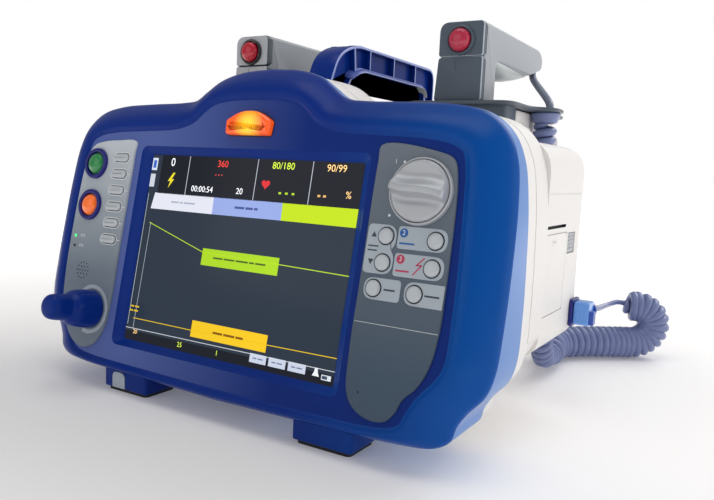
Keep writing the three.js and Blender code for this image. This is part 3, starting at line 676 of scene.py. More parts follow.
@dataclass(frozen=True)
class Backdrop(Finish):
    """Studio sheet: it shines a little, and more and more away from its middle, so that it has no horizon. The shine is
    painted light, weakest near the middle, where the unit's shadow falls.
    """

    def make(self) -> Material:
        """Adds the shine: the distance from the middle raises it from the near to the far level."""
        material, g, _, surface = self.shader()
        away = g.add("VectorMath", {0: g.add("TexCoord").outputs["Object"]}, operation="LENGTH").outputs["Value"]
        level = g.remap(away, 0.3, 1.1, self.glow, 0.75)
        shine = g.add("CombineColor", {0: level, 1: level, 2: level}).outputs[0]
        material.node_tree.links.new(shine, surface.inputs["Emission Color"])
        surface.inputs["Emission Strength"].default_value = 1.0
        return material


@dataclass(frozen=True)
class Picture(Finish):
    """Lit screen: each face's own colour shines through a fine stripe of screen cells."""

    def make(self) -> Material:
        """Adds the light: face colour times the cell stripes."""
        material, g, group, surface = self.shader()
        colour = g.add("VertexColor", layer_name="tone").outputs["Color"]
        where = g.add("TexCoord").outputs["Object"]
        cells = g.add("TexWave", {"Vector": where, "Scale": 900.0}).outputs["Fac"]
        slow = g.add("TexNoise", {"Vector": where, "Scale": 6.0}).outputs["Fac"]
        dim = g.calc("ADD", g.calc("MULTIPLY", cells, 0.06), g.remap(slow, 0.3, 0.7, 0.9, 1.0))
        lit = g.mix(1.0, colour, g.add("CombineColor", {0: dim, 1: dim, 2: dim}).outputs[0], "MULTIPLY")
        links = material.node_tree.links
        links.new(lit, surface.inputs["Emission Color"])
        surface.inputs["Emission Strength"].default_value = 1.1
        group.inputs["Color"].default_value = (0.006, 0.007, 0.01, 1)
        return material


@dataclass(frozen=True)
class Board(Finish):
    """Circuit board: lighter copper runs in a brick layout under the coating."""

    def make(self) -> Material:
        """Adds the copper runs."""
        material, g, group, _ = self.shader()
        turned = g.add("Mapping", {0: g.add("TexCoord").outputs["Object"], 2: (math.pi / 2, 0, 0)})
        runs = g.add("TexBrick", {0: turned.outputs[0], "Scale": 160.0, "Mortar Size": 0.03}).outputs["Fac"]
        base = linear(self.colour)
        lit = tuple(min(2.2 * c, 1) for c in base[:3]) + (1.0,)
        material.node_tree.links.new(g.mix(runs, base, lit), group.inputs["Color"])
        return material


class Paint:
    """Every finish of the unit, made once."""

    def __init__(self) -> None:
        """Makes the materials."""
        # Painted light: the blue turns lighter towards the unit's right side, as though lit from the right.
        self.blue = PaintedLightGrade(
            "royal_blue_lit_right", (4, 46, 134), 0.3, coat=0.0, relief=0.02, specular=0.15,
            far_colour=(0, 80, 164), axis=(1, 0, 0), low=0.06, high=0.165).make()
        # Painted reflection: the recessed field is pale grey-blue at the left, where a soft box is reflected, and deep
        # blue towards the right.
        self.blue_field_reflection = PaintedLightGrade(
            "royal_blue_field_painted_reflection", (88, 106, 172), 0.4, coat=0.0, relief=0.03, specular=0.12,
            far_colour=(8, 44, 126), axis=(1, 0, 0), low=-0.08, high=0.045).make()
        self.navy = Finish("navy_gloss", (26, 30, 118), 0.3, coat=0.1, relief=0.01, specular=0.3).make()
        self.white = Finish("warm_white_moulding", (236, 233, 230), 0.5, drift=0.03, relief=0.06, dust=0.01).make()
        # Painted light: both panel plates turn lighter towards the top, as though lit from above.
        self.right_grey_lit_top = PaintedLightGrade(
            "slate_panel_lit_top", (70, 88, 106), 0.5, relief=0.05, specular=0.3, far_colour=(118, 126, 136), low=0.05,
            high=0.19).make()
        self.left_grey_lit_top = PaintedLightGrade(
            "grey_panel_lit_top", (116, 128, 142), 0.5, relief=0.05, specular=0.3, far_colour=(206, 213, 219), low=0.08,
            high=0.18).make()
        self.label = Finish("label_grey", (176, 186, 196), 0.45, relief=0.02, drift=0.03).make()
        self.print_white = Finish("white_print", (235, 238, 240), 0.5, relief=0.02).make()
        self.print_dark = Finish("dark_print", (56, 64, 74), 0.5, relief=0.02).make()
        self.print_blue = Finish("blue_print", (20, 96, 170), 0.4, relief=0.02).make()
        self.print_red = Finish("red_print", (190, 50, 90), 0.4, relief=0.02).make()
        self.silver = Finish(
            "silver_moulding", (184, 187, 192), 0.34, metal=0.25, coat=0.1, relief=0.02, drift=0.03).make()
        self.key = Finish("pearl_key", (194, 200, 206), 0.3, metal=0.1, coat=0.3, relief=0.015, drift=0.03).make()
        self.groove = Finish("dark_groove", (28, 33, 42), 0.6).make()
        self.black = Finish("black_gloss", (14, 15, 18), 0.2, coat=0.5, relief=0.01).make()
        # Both button domes glow faintly: painted light that brightens them.
        self.green = Finish("green_button", (18, 128, 62), 0.2, coat=0.6, relief=0.01, glow=0.12).make()
        self.orange = Finish("orange_button", (244, 108, 20), 0.2, coat=0.6, relief=0.01, glow=0.25).make()
        self.red = Finish("red_button", (188, 12, 44), 0.15, coat=0.3, relief=0.008).make()
        self.red_soft = Finish("crimson_button", (186, 38, 72), 0.2, coat=0.25, relief=0.008).make()
        self.slate_dark = Finish("dark_slate_moulding", (76, 88, 102), 0.42, relief=0.05).make()
        self.slate_light = Finish("light_slate_moulding", (164, 168, 174), 0.4, coat=0.1, relief=0.04).make()
        self.plate_grey = Finish("plate_grey_moulding", (74, 84, 96), 0.36, coat=0.15, relief=0.03).make()
        self.steel = Brushed("brushed_steel", (196, 198, 202), 0.3, metal=1.0, drift=0.02).make()
        self.tin = Brushed("plain_metal", (190, 193, 196), 0.35, metal=1.0).make()
        self.cord = Finish("cord_jacket", (114, 126, 172), 0.34, coat=0.2, relief=0.04, grain=2600).make()
        self.lead = Finish("lead_jacket", (104, 112, 138), 0.4, coat=0.1, relief=0.05, grain=2600).make()
        # The clear plug's faint glow is painted light, standing in for light passing through it.
        self.clear_blue = Finish("clear_blue_moulding", (92, 150, 226), 0.22, coat=0.5, relief=0.02, glow=0.06).make()
        self.rubber = Finish("foot_rubber", (34, 35, 38), 0.8, relief=0.15, grain=900).make()
        self.paper = Finish("chart_paper", (240, 238, 228), 0.8, relief=0.1).make()
        self.board = Board("circuit_board", (24, 92, 50), 0.4, coat=0.3).make()
        self.screen = Picture("screen_picture", (8, 10, 14), 0.14, coat=0.08, relief=0.0, specular=0.15).make()
        self.lamp = Lamp("lamp_lens", (240, 110, 10), 0.2, relief=0.01, centre=(0.001, -0.0967, 0.1847)).make()
        # Painted highlight: a lighter copy of the blue for the lip's upper side.
        self.lip_highlight = Finish("rim_blue_moulding", (78, 96, 176), 0.35, coat=0.1, relief=0.02).make()
        # Painted highlight on the flat side rims of the handle.
        self.edge_highlight = Finish("pale_blue_painted_highlight", (150, 164, 222), 0.35, coat=0.2, relief=0.02).make()
        # Pale grey for the finger rests; on the lip's underside it is a painted reflection of the white deck.
        self.pale_rest_and_reflection = Finish("pale_rest_moulding", (206, 212, 212), 0.4, coat=0.1, relief=0.04).make()
        self.slate_mid = Finish("mid_slate_moulding", (176, 179, 184), 0.42, coat=0.1, relief=0.04).make()
        # Painted shadow: dark slate on the left cover's side and chamfer.
        self.slate_shadow = Finish("slate_painted_shadow", (52, 62, 70), 0.36, coat=0.2, relief=0.02).make()
        # Painted shade: a darker copy of the light slate for the left grip.
        self.shaded_slate = Finish("light_slate_painted_shade", (140, 144, 150), 0.4, coat=0.1, relief=0.04).make()
        # Painted reflection: the flange turns light blue towards the right, standing in for the bright reflection along
        # it.
        self.flange_blue = PaintedLightGrade(
            "flange_painted_reflection", (8, 60, 150), 0.3, coat=0.1, relief=0.02, specular=0.25,
            far_colour=(92, 138, 206), axis=(1, 0, 0), low=0.015, high=0.04).make()
        self.plug_blue = Finish("deep_plug_blue", (10, 72, 176), 0.3, coat=0.4, relief=0.02).make()
        self.led = Finish("green_light", (60, 220, 120), 0.3, glow=1.2).make()

    def of_slot(self, slot: str) -> Material:
        """The material of a CAD node that keeps its own mesh, by its slot."""
        return {
            "plate_metal": self.tin, "circuit_board": self.board, "black_plastic": self.black,
            "chart_paper": self.paper, "foot_rubber": self.rubber, "white_plastic": self.white,
            "slate_plastic": self.slate_dark, "light_grey_plastic": self.slate_light,
            "electrode_steel": self.steel, "blue_plastic": self.blue, "cord_jacket": self.cord,
        }[slot]


# ------------------------------------------------------------------ studio


@dataclass
class Studio:
    """Camera at the viewing angle, pale floor and soft lights."""

    eye: tuple[float, float, float] = (0.29232, -0.44319, 0.1605)
    right: tuple[float, float, float] = (0.8544, 0.5177, 0.0456)
    up: tuple[float, float, float] = (-0.0983, 0.0749, 0.9923)
    ahead: tuple[float, float, float] = (-0.5103, 0.8523, -0.1149)
    lens: float = 35.54
    floor_size: float = 14.0
    bright_way: tuple[float, float, float] = (0.75, 0.6, -0.25)
    dim: float = 0.33
    bright: float = 0.95

    def camera(self) -> None:
        """Places the camera by its three axes."""
        data = bpy.data.cameras.new("camera")
        data.lens, data.sensor_width = self.lens, SENSOR_WIDTH
        data.clip_start = 0.01
        axes = np.eye(4)
        axes[:3, 0], axes[:3, 1] = self.right, self.up
        axes[:3, 2] = -np.array(self.ahead)
        axes[:3, 3] = self.eye
        eye = bpy.data.objects.new("camera", data)
        eye.matrix_world = Matrix(axes.tolist())
        bpy.context.scene.collection.objects.link(eye)
        bpy.context.scene.camera = eye

    def floor(self) -> None:
        """A wide pale floor."""
        half = self.floor_size / 2 / MM
        material = Backdrop(
            "pale_floor", (250, 248, 247), 0.6, drift=0.0, relief=0.0, dust=0.0, specular=0.1, glow=0.12).make()
        sheet = Form().plate(rounded_rect(-half, half, -half, half, half * 0.5), 0.0).build("floor", [material])

    def softbox(
        self, name: str, at: Sequence[float], aim: Sequence[float], size: Pair, power: float, colour: RGB = (1, 1, 1)
    ) -> None:
        """One area light.

        Args:
            name: Light name.
            at: Its place in metres.
            aim: The point that it faces.
            size: Width and height in metres.
            power: Power in watts.
            colour: Linear colour.
        """
        data = bpy.data.lights.new(name, "AREA")
        data.shape, data.size, data.size_y = "RECTANGLE", *size
        data.energy, data.color = power, colour
        lamp = bpy.data.objects.new(name, data)
        lamp.location = at
        lamp.rotation_euler = (Vector(aim) - Vector(at)).to_track_quat("-Z", "Y").to_euler()
        bpy.context.scene.collection.objects.link(lamp)

    def lights(self) -> None:
        """Surround that is bright behind and on the right and dimmer in front, with soft boxes for the edges."""
        world = bpy.data.worlds.new("surround")
        world.use_nodes = True
        g = Graph(world.node_tree)
        back = world.node_tree.nodes["Background"]
        way = g.add("TexCoord").outputs["Generated"]
        dot = g.add("VectorMath", {0: way, 1: self.bright_way}, operation="DOT_PRODUCT").outputs["Value"]
        level = g.remap(dot, 0.25, 0.9, self.dim, self.bright)
        seen = g.add("LightPath").outputs["Is Camera Ray"]
        unseen = g.calc("MULTIPLY", g.calc("SUBTRACT", 1.0, seen), level)
        strength = g.calc("ADD", g.calc("MULTIPLY", seen, 1.0), unseen)
        world.node_tree.links.new(strength, back.inputs[1])
        back.inputs[0].default_value = (1, 1, 1, 1)
        bpy.context.scene.world = world
        bpy.context.scene.view_settings.view_transform = "Standard"
        self.softbox("back_key", (0.7, 1.4, 1.6), (0, 0, 0.05), (1.6, 1.2), 17)
        self.softbox("overhead", (0.0, -0.3, 1.8), (0, -0.1, 0.1), (1.4, 0.8), 6)
        self.softbox("front_fill", (-0.7, -1.7, 0.8), (0, -0.1, 0.1), (1.4, 1.0), 3)
        self.softbox("right_side", (1.7, -0.1, 0.6), (0.1, 0, 0.1), (1.0, 1.2), 2.8)


# ------------------------------------------------------------------ front


def mirrored(points: Sequence[Pair], per_span: int) -> Array:
    """Right half through its points, from the top middle clockwise, closed anticlockwise with its mirror image."""
    half = catmull(points, per_span)[::-1]
    return np.vstack([half, half[-2:0:-1] * (-1, 1)])


@dataclass
class FrontBezel:
    """Blue front: side flange, soft front edge, raised lip, recessed field and sloping screen recess."""

    half_width: float = 176.6
    top: float = 102.5
    hump: float = 22.8
    bottom: float = 90.5
    edge_depth: float = 12.0
    back_y: float = -70.0
    field_n: float = -1.5
    soft_edge: float = 3.4
    recess: tuple[float, float, float, float] = (-94.0, 91.0, -69.2, 69.6)
    window: Pair = (85.6, 64.3)
    glass_n: float = -4.9
    foot_x: float = 81.0
    foot_width: float = 41.0
    foot_y: Pair = (-121.0, -90.0)

    def edge(self) -> Array:
        """Outer outline, in the panel's plane."""
        w, t = self.half_width, self.top
        return mirrored([
            (0, t + self.hump), (24, t + 20.9), (40, t + 16), (50.5, t + 9), (60, t + 2.7), (74, t + 0.9),
            (105, t), (w - 42.6, t - 1.7), (w - 23.6, t - 6.5), (w - 11.6, t - 16.5), (w - 4.6, t - 31.5),
            (w - 1.3, 48), (w, 15), (w, -18), (w - 1.3, -42), (w - 5.1, -54), (w - 13.6, -64.5),
            (w - 18.1, -72), (w - 20.6, -80), (w - 27.6, -85), (w - 46.6, -87.5), (90, 1.7 - self.bottom),
            (0, -self.bottom)], 12)

    def ridge(self) -> Array:
        """Line where the soft front edge turns over into the lip."""
        w, t = self.half_width, self.top
        return mirrored([
            (0, t + 2.7), (22, t + 1.8), (35, t - 1), (43, t - 6), (51.5, t - 13), (64, t - 16.9),
            (95, t - 18.7), (w - 54.6, t - 20), (w - 36.6, t - 23), (w - 27.6, t - 28.5), (w - 24.1, t - 39.5),
            (w - 22.6, 46), (w - 20.8, 15), (w - 20.1, -18), (w - 21.3, -42), (w - 26.1, -51.5),
            (w - 34.1, -61), (w - 39.1, -70), (w - 42.6, -77.5), (w - 49.6, -81.5), (w - 64.6, -83.8),
            (80, 5.9 - self.bottom), (0, 5 - self.bottom)], 12)

    @staticmethod
    def lifted(outline: Array, n: float) -> Array:
        """Row points of a panel outline at a height above the panel."""
        ring = np.concatenate([outline, np.full((len(outline), 1), n)], axis=1)
        return ring @ PANEL[:3, :3].T + PANEL[:3, 3]

    def back_outline(self) -> Array:
        """The outer outline seen from the front: row x and z."""
        return self.lifted(self.edge(), -self.edge_depth)[:, [0, 2]]

    def back_ring(self, inwards: float, y: float) -> Array:
        """The back outline inset and placed at a row y."""
        flat = inset(self.back_outline(), inwards)
        return np.stack([flat[:, 0], np.full(len(flat), y), flat[:, 1]], axis=1)

    def face(self, share: float) -> Array:
        """Front surface: the edge moves to the ridge by a share while it rises as a quarter sine."""
        edge, ridge = self.edge(), self.ridge()
        rise = -self.edge_depth * (1 - math.sin(share * math.pi / 2))
        return self.lifted(edge * (1 - share) + ridge * share, rise)

    def shell(self, paint: Paint) -> Object:
        """The bezel moulding."""
        crease, back = self.face(0.0), self.back_ring(0.0, self.back_y)
        towards = back - crease
        towards /= np.linalg.norm(towards, axis=1)[:, None]
        behind, ahead = crease + towards * self.soft_edge, self.face(0.14)
        lining = ((3.0, 4.0), (3.0, 0.0), (0.5, 0.0), (0.0, -0.5))
        rows = [self.back_ring(inwards, self.back_y + y) for inwards, y in lining]
        rows += [behind * (1 - t) ** 2 + 2 * t * (1 - t) * crease + ahead * t**2 for t in np.linspace(0, 1, 7)]
        rows += [self.face(s) for s in np.linspace(0.14, 1.0, 15)[1:]]
        ridge, normals = self.ridge(), outward(self.ridge())
        for d, n in ((0.7, -0.05), (1.4, -0.3), (2.0, -0.75), (2.6, -1.15), (3.2, -1.4), (4.0, self.field_n)):
            rows.append(self.lifted(ridge - normals * d, n))
        flat_from = len(rows)
        rim = ridge - normals * 4.0
        x0, x1, y0, y1 = self.recess
        mouth = by_angle(rim, rounded_rect(x0, x1, y0, y1, 5.0, 10, 30))
        for share in np.linspace(0, 1, 7)[1:]:
            rows.append(self.lifted(rim * (1 - share) + mouth * share, self.field_n))
        flat_to = len(rows)
        w, h = self.window
        seat = by_angle(rim, rounded_rect(-w, w, -h, h, 1.2, 10, 30))
        for share, drop in ((0.06, 0.25), (0.14, 0.6), (0.5, 1.7), (0.9, 2.9), (0.97, 3.2), (1.0, 3.5)):
            rows.append(self.lifted(mouth * (1 - share) + seat * share, self.field_n - drop))
        at = flat_from
        # Finish 2 on the rows from the back edge to the crease is the flange's painted reflection.
        form = Form().grid(np.stack(rows[:4])).grid(np.stack(rows[3:6]), UPRIGHT, 2).grid(np.stack(rows[5:at]))
        # The field between the lip and the screen recess takes finish 1, its painted reflection.
        form.grid(np.stack(rows[at - 1:flat_to]), UPRIGHT, 1)
        form.grid(np.stack(rows[flat_to - 1:]))
        piece = form.build("front_bezel_shell", [paint.blue, paint.blue_field_reflection, paint.flange_blue], 40)
        return finished(piece, ROOT, ["front_bezel"])

    def feet(self, paint: Paint) -> None:
        """Two blue front feet with a light tab on the left one."""
        form = Form()
        for side in (-1, 1):
            x = side * self.foot_x
            half = self.foot_width / 2
            form.block((x - half, self.foot_y[0], 2.2), (x + half, self.foot_y[1], 16.0), 1.4, corner=2.2)
            form.block((x - half + 3, self.foot_y[0] + 5, 14.0), (x + half - 3, self.foot_y[1] + 16, 19.0), 1.4)
        finished(form.build("front_feet", [paint.blue]), ROOT)
        tab = rounded_corners([(-92.5, 3.0, 0.8), (-80.5, 3.0, 0.8), (-80.5, 14.2, 4.5), (-92.5, 14.2, 4.5)], 8)
        out = place((1, 0, 0), (0, 0, 1), (0, -1, 0), (0, self.foot_y[0], 0))
        piece = Form().raised(tab, pillow(-0.5, 0.9, 0.5), out).build("foot_tab", [paint.label])
        finished(piece, ROOT)

    def lamp(self, paint: Paint) -> None:
        """Alarm lamp: flat foot, upright ends and a low arch, with a crowned face and a dark seat round it."""
        arch = rounded_corners([
            (-17.2, 78.2, 1.2), (17.2, 78.2, 1.2), (18.0, 87.2, 1.6), (7.5, 93.4, 6.5), (-7.5, 93.4, 6.5),
            (-18.0, 87.2, 1.6)], 8)
        seat = inset(arch, -0.7)
        form = Form().raised(seat, [(0, self.field_n - 0.5), (0, self.field_n + 0.05)], PANEL, 1)
        form.raised(arch, [(0, self.field_n), (0, 1.6), (0.5, 2.5), (1.5, 3.1), (3.0, 3.4), (5.0, 3.5)], PANEL)
        finished(form.build("alarm_lamp_lens", [paint.lamp, paint.groove]), ROOT, ["alarm_lamp"])


def bar(x: float, y: float, w: float, h: float, r: float = 0.0) -> Array:
    """Rectangle about a middle, with rounded corners where a radius is given."""
    return rounded_rect(x - w / 2, x + w / 2, y - h / 2, y + h / 2, max(r, 0.02), 5 if r else 1)


def stroke(points: Sequence[Pair], width: float) -> list[Array]:
    """A bent line as thin rectangles, one for each straight part."""
    p = np.asarray(points, float)
    parts = []
    for a, b in zip(p[:-1], p[1:]):
        along = (b - a) / np.linalg.norm(b - a)
        side = np.array([-along[1], along[0]]) * width / 2
        run = along * width * 0.35
        parts.append(np.array([a - side - run, b - side + run, b + side + run, a + side - run]))
    return parts


def ring_band(outer: Array, width: float) -> Array:
    """Grid rows for a flat band inside an outline."""
    return np.stack([outer, inset(outer, width)])


def letters(
    name: str, items: Sequence[tuple[str, float, float, float]], n: float, paint: Material,
    body: str = ROOT,
) -> Object:
    """Digits and signs as flat shapes on the panel.

    Args:
        name: Piece name.
        items: Each (text, size, u, v), placed by its middle.
        n: Height above the panel in millimetres.
        paint: Their material.
        body: The body that they ride on.

    Returns:
        One object that holds them all.
    """
    graph = bpy.context.evaluated_depsgraph_get
    verts: list[Array] = []
    faces: list[list[int]] = []
    count = 0
    for text, size, u, v in items:
        curve = bpy.data.curves.new(name, "FONT")
        curve.body, curve.size = text, size
        curve.align_x, curve.align_y = "CENTER", "CENTER"
        curve.resolution_u = 3
        holder = bpy.data.objects.new(name, curve)
        bpy.context.scene.collection.objects.link(holder)
        flat = bpy.data.meshes.new_from_object(holder.evaluated_get(graph()))
        local = np.empty(len(flat.vertices) * 3, np.float32)
        flat.vertices.foreach_get("co", local)
        matrix = on_panel(u, v, n)
        verts.append(local.reshape(-1, 3) @ matrix[:3, :3].T + matrix[:3, 3])
        faces.extend([[i + count for i in p.vertices] for p in flat.polygons])
        count += len(flat.vertices)
        bpy.data.objects.remove(holder, do_unlink=True)
    mesh = bpy.data.meshes.new(name)
    mesh.from_pydata((np.vstack(verts) * MM).tolist(), [], faces)
    mesh.materials.append(paint)
    mesh.update()
    piece = bpy.data.objects.new(name, mesh)
    bpy.context.scene.collection.objects.link(piece)
    return finished(piece, body)


@dataclass
class Screen:
    """Lit screen: a flat window with its picture as thin coloured shapes in front of it."""

    half: Pair = (85.45, 64.1)
    glass_n: float = -4.9
    step: float = 0.05
    art: list[tuple[Array, RGB, int]] = field(default_factory=list)

    def put(self, outline: Array | Sequence[Pair], colour: RGB, layer: int = 1) -> None:
        """Adds one shape in screen millimetres."""
        self.art.append((np.asarray(outline, float), colour, layer))

    def dashes(self, u: float, v: float, widths: Sequence[float], colour: RGB, high: float = 1.1) -> None:
        """A row of short bars that stands where a caption would be."""
        total = sum(widths) + 0.9 * (len(widths) - 1)
        x = u - total / 2
        for width in widths:
            self.put(bar(x + width / 2, v, width, high), colour, 3)
            x += width + 0.9

    def picture(self) -> None:
        """Lays out header, bars, traces, message boxes and foot."""
        w, h = self.half
        slate, ink = (40, 50, 63), (19, 21, 30)
        self.put(bar(0, 0, 2 * w, 2 * h), slate, 0)
        self.put(bar(4.5, 50.7, 2 * w - 9, 26.6), ink)
        self.put(bar(0, -61.2, 2 * w, 6.2), ink)
        for u in (-50.7, 7.7, 49.8):
            self.put(bar(u, 50.8, 0.5, 26.4), (196, 202, 214), 2)
        self.put([(-80.5, 26.6), (-24.2, 26.5), (-24.6, 37.8), (-78.5, 37.8)], (226, 228, 240))
        self.put([(-24.2, 26.5), (31.7, 26.7), (31.3, 37.6), (-24.6, 37.8)], (152, 170, 228))
        self.put([(31.7, 26.7), (w, 26.5), (w, 37.4), (31.3, 37.6)], (196, 226, 10))
        self.dashes(-51, 32.2, (7, 3, 10), (168, 176, 196))
        self.dashes(3.5, 32.2, (8, 6, 3), (70, 84, 150), 1.5)
        amber, lime = (226, 190, 20), (186, 226, 40)
        for part in stroke([(-84.5, 37), (-84.5, -54)], 0.35) + stroke([(-78.0, 17.0), (-78.7, -56)], 0.3):
            self.put(part, (196, 206, 216), 2)
        for part in stroke([(-79, 16.8), (-26.6, 1.3), (35.2, 0.0), (w, -1.3)], 0.5):
            self.put(part, lime, 2)
        for part in stroke([(-80, -49.4), (-26, -49.6), (36, -48.8), (w, -48.2)], 0.5):
            self.put(part, amber, 2)
        for part in stroke([(-w, -56.4), (w, -55.8)], 0.4):
            self.put(part, (210, 214, 220), 2)
        self.put(bar(4.2, -1.5, 62.2, 10.9), (170, 214, 24), 2)
        self.dashes(4.2, -1.5, (8, 9, 10, 4, 8), (74, 96, 20))
        self.put(bar(4.6, -48.3, 61.6, 10.6), (240, 196, 28), 2)
        self.dashes(4.6, -48.3, (8, 9, 6), (130, 84, 12), 1.4)
        bolt = [(-64.2, 52.2), (-68.4, 46.2), (-66.0, 46.4), (-67.4, 41.4), (-62.6, 47.9), (-65.0, 47.7), (-62.2, 52.2)]
        self.put(bolt, (236, 220, 40), 2)
        self.put(self.heart(16.1, 48.4, 3.3), (226, 48, 52), 2)
        for u, colour in ((28, lime), (33, lime), (38, lime), (57, (244, 190, 110)), (61, (244, 190, 110))):
            self.put(bar(u, 43.4, 2.0, 1.3), colour, 2)
        for u in (-26, -23.4, -20.8):
            self.put(bar(u, 52.4, 1.1, 0.8), (220, 70, 60), 2)
        self.put(bar(-w + 2.6, 57.6, 5.0, 8.6), (216, 226, 244), 2)
        self.put(bar(-w + 2.6, 57.6, 2.8, 5.4), (58, 104, 196), 3)
        self.put(bar(-w + 2.4, 46.2, 4.6, 9.0), (206, 212, 222), 2)
        for u in (30.5, 45.0, 59.5):
            self.put(bar(u, -58.2, 12.6, 5.4), (196, 204, 222), 2)
            self.dashes(u, -58.2, (3, 4), (110, 120, 150), 0.8)
        self.put([(70.6, -60.4), (75.6, -60.4), (74.4, -58.2), (74.0, -55.6), (72.2, -55.6), (71.8, -58.2)],
                 (232, 236, 240), 2)
        self.put(bar(80.4, -60.2, 6.6, 3.0), (214, 220, 228), 2)
        self.put(bar(79.4, -60.2, 3.6, 1.9), (60, 74, 96), 3)
        for u, v in ((-80, -41.5), (-80.5, -44.4)):
            self.dashes(u, v, (3, 4), amber, 1.0)

    @staticmethod
    def heart(u: float, v: float, size: float) -> Array:
        """Heart outline: the usual sine-cubed curve."""
        t = np.linspace(0, 2 * math.pi, 28, endpoint=False)[::-1]
        x = 16 * np.sin(t) ** 3
        y = 13 * np.cos(t) - 5 * np.cos(2 * t) - 2 * np.cos(3 * t) - np.cos(4 * t)
        ring = np.stack([u + x * size / 16, v + y * size / 16], axis=1)
        return ring

    def build(self, paint: Paint) -> None:
        """Makes the window and its picture."""
        self.picture()
        form = Form()
        tones: list[RGB] = []
        for outline, colour, layer in self.art:
            form.plate(outline, self.glass_n + 0.02 + layer * self.step, PANEL)
            tones += [colour] * len(outline)
        w, h = self.half[0] + 2.0, self.half[1] + 2.0
        form.raised(rounded_rect(-w, w, -h, h, 2), [(0, self.glass_n - 1.5), (0, self.glass_n)], PANEL)
        tones += [(12, 14, 18)] * (form.count - len(tones))
        piece = form.build("screen_picture", [paint.screen])
        layer = piece.data.color_attributes.new("tone", "FLOAT_COLOR", "POINT")
        layer.data.foreach_set("color", np.array([linear(t) for t in tones], np.float32).ravel())
        finished(piece, ROOT, ["screen_window"])
        n = self.glass_n + 0.3
        lit = lambda name, colour: Finish(name, colour, 0.4, glow=0.9, relief=0.0).make()
        letters("screen_digits_white", [("0", 8, -65.6, 59.2), ("00:00:54", 5.6, -36, 42.2), ("20", 5.6, -4, 42.6)],
                n, lit("lit_white", (232, 236, 240)))
        letters("screen_digits_red", [("360", 6.2, -21, 59.6)], n, lit("lit_red", (226, 60, 44)))
        letters("screen_digits_lime", [("80/180", 6.2, 28, 60.2), ("25", 4.4, -34, -60.4), ("1", 4.4, -2, -60.4)],
                n, lit("lit_lime", (200, 226, 60)))
        letters("screen_digits_amber", [("90/99", 6.2, 67, 60.2), ("%", 6.0, 77.6, 44.8), ("20", 4.0, -76, -58.4)],
                n, lit("lit_amber", (244, 200, 130)))


def dome(radius: float, low: float, shoulder: float, rise: float, steps: int = 8) -> list[Pair]:
    """(radius, height) profile: an upright side, a small round and a flat elliptical crown."""
    edge = [(radius, low), (radius, shoulder - 0.35), (radius - 0.12, shoulder - 0.1), (radius - 0.35, shoulder)]
    a = np.linspace(0, math.pi / 2, steps + 1)[1:]
    crown = [((radius - 0.35) * math.cos(x), shoulder + rise * math.sin(x)) for x in a]
    return edge + [(max(r, 0.0), z) for r, z in crown]


class Side(Enum):
    """Which side of the unit a piece stands on."""

    LEFT = "left"
    RIGHT = "right"

    @property
    def sign(self) -> int:
        """-1 on the left and 1 on the right."""
        return -1 if self is Side.LEFT else 1


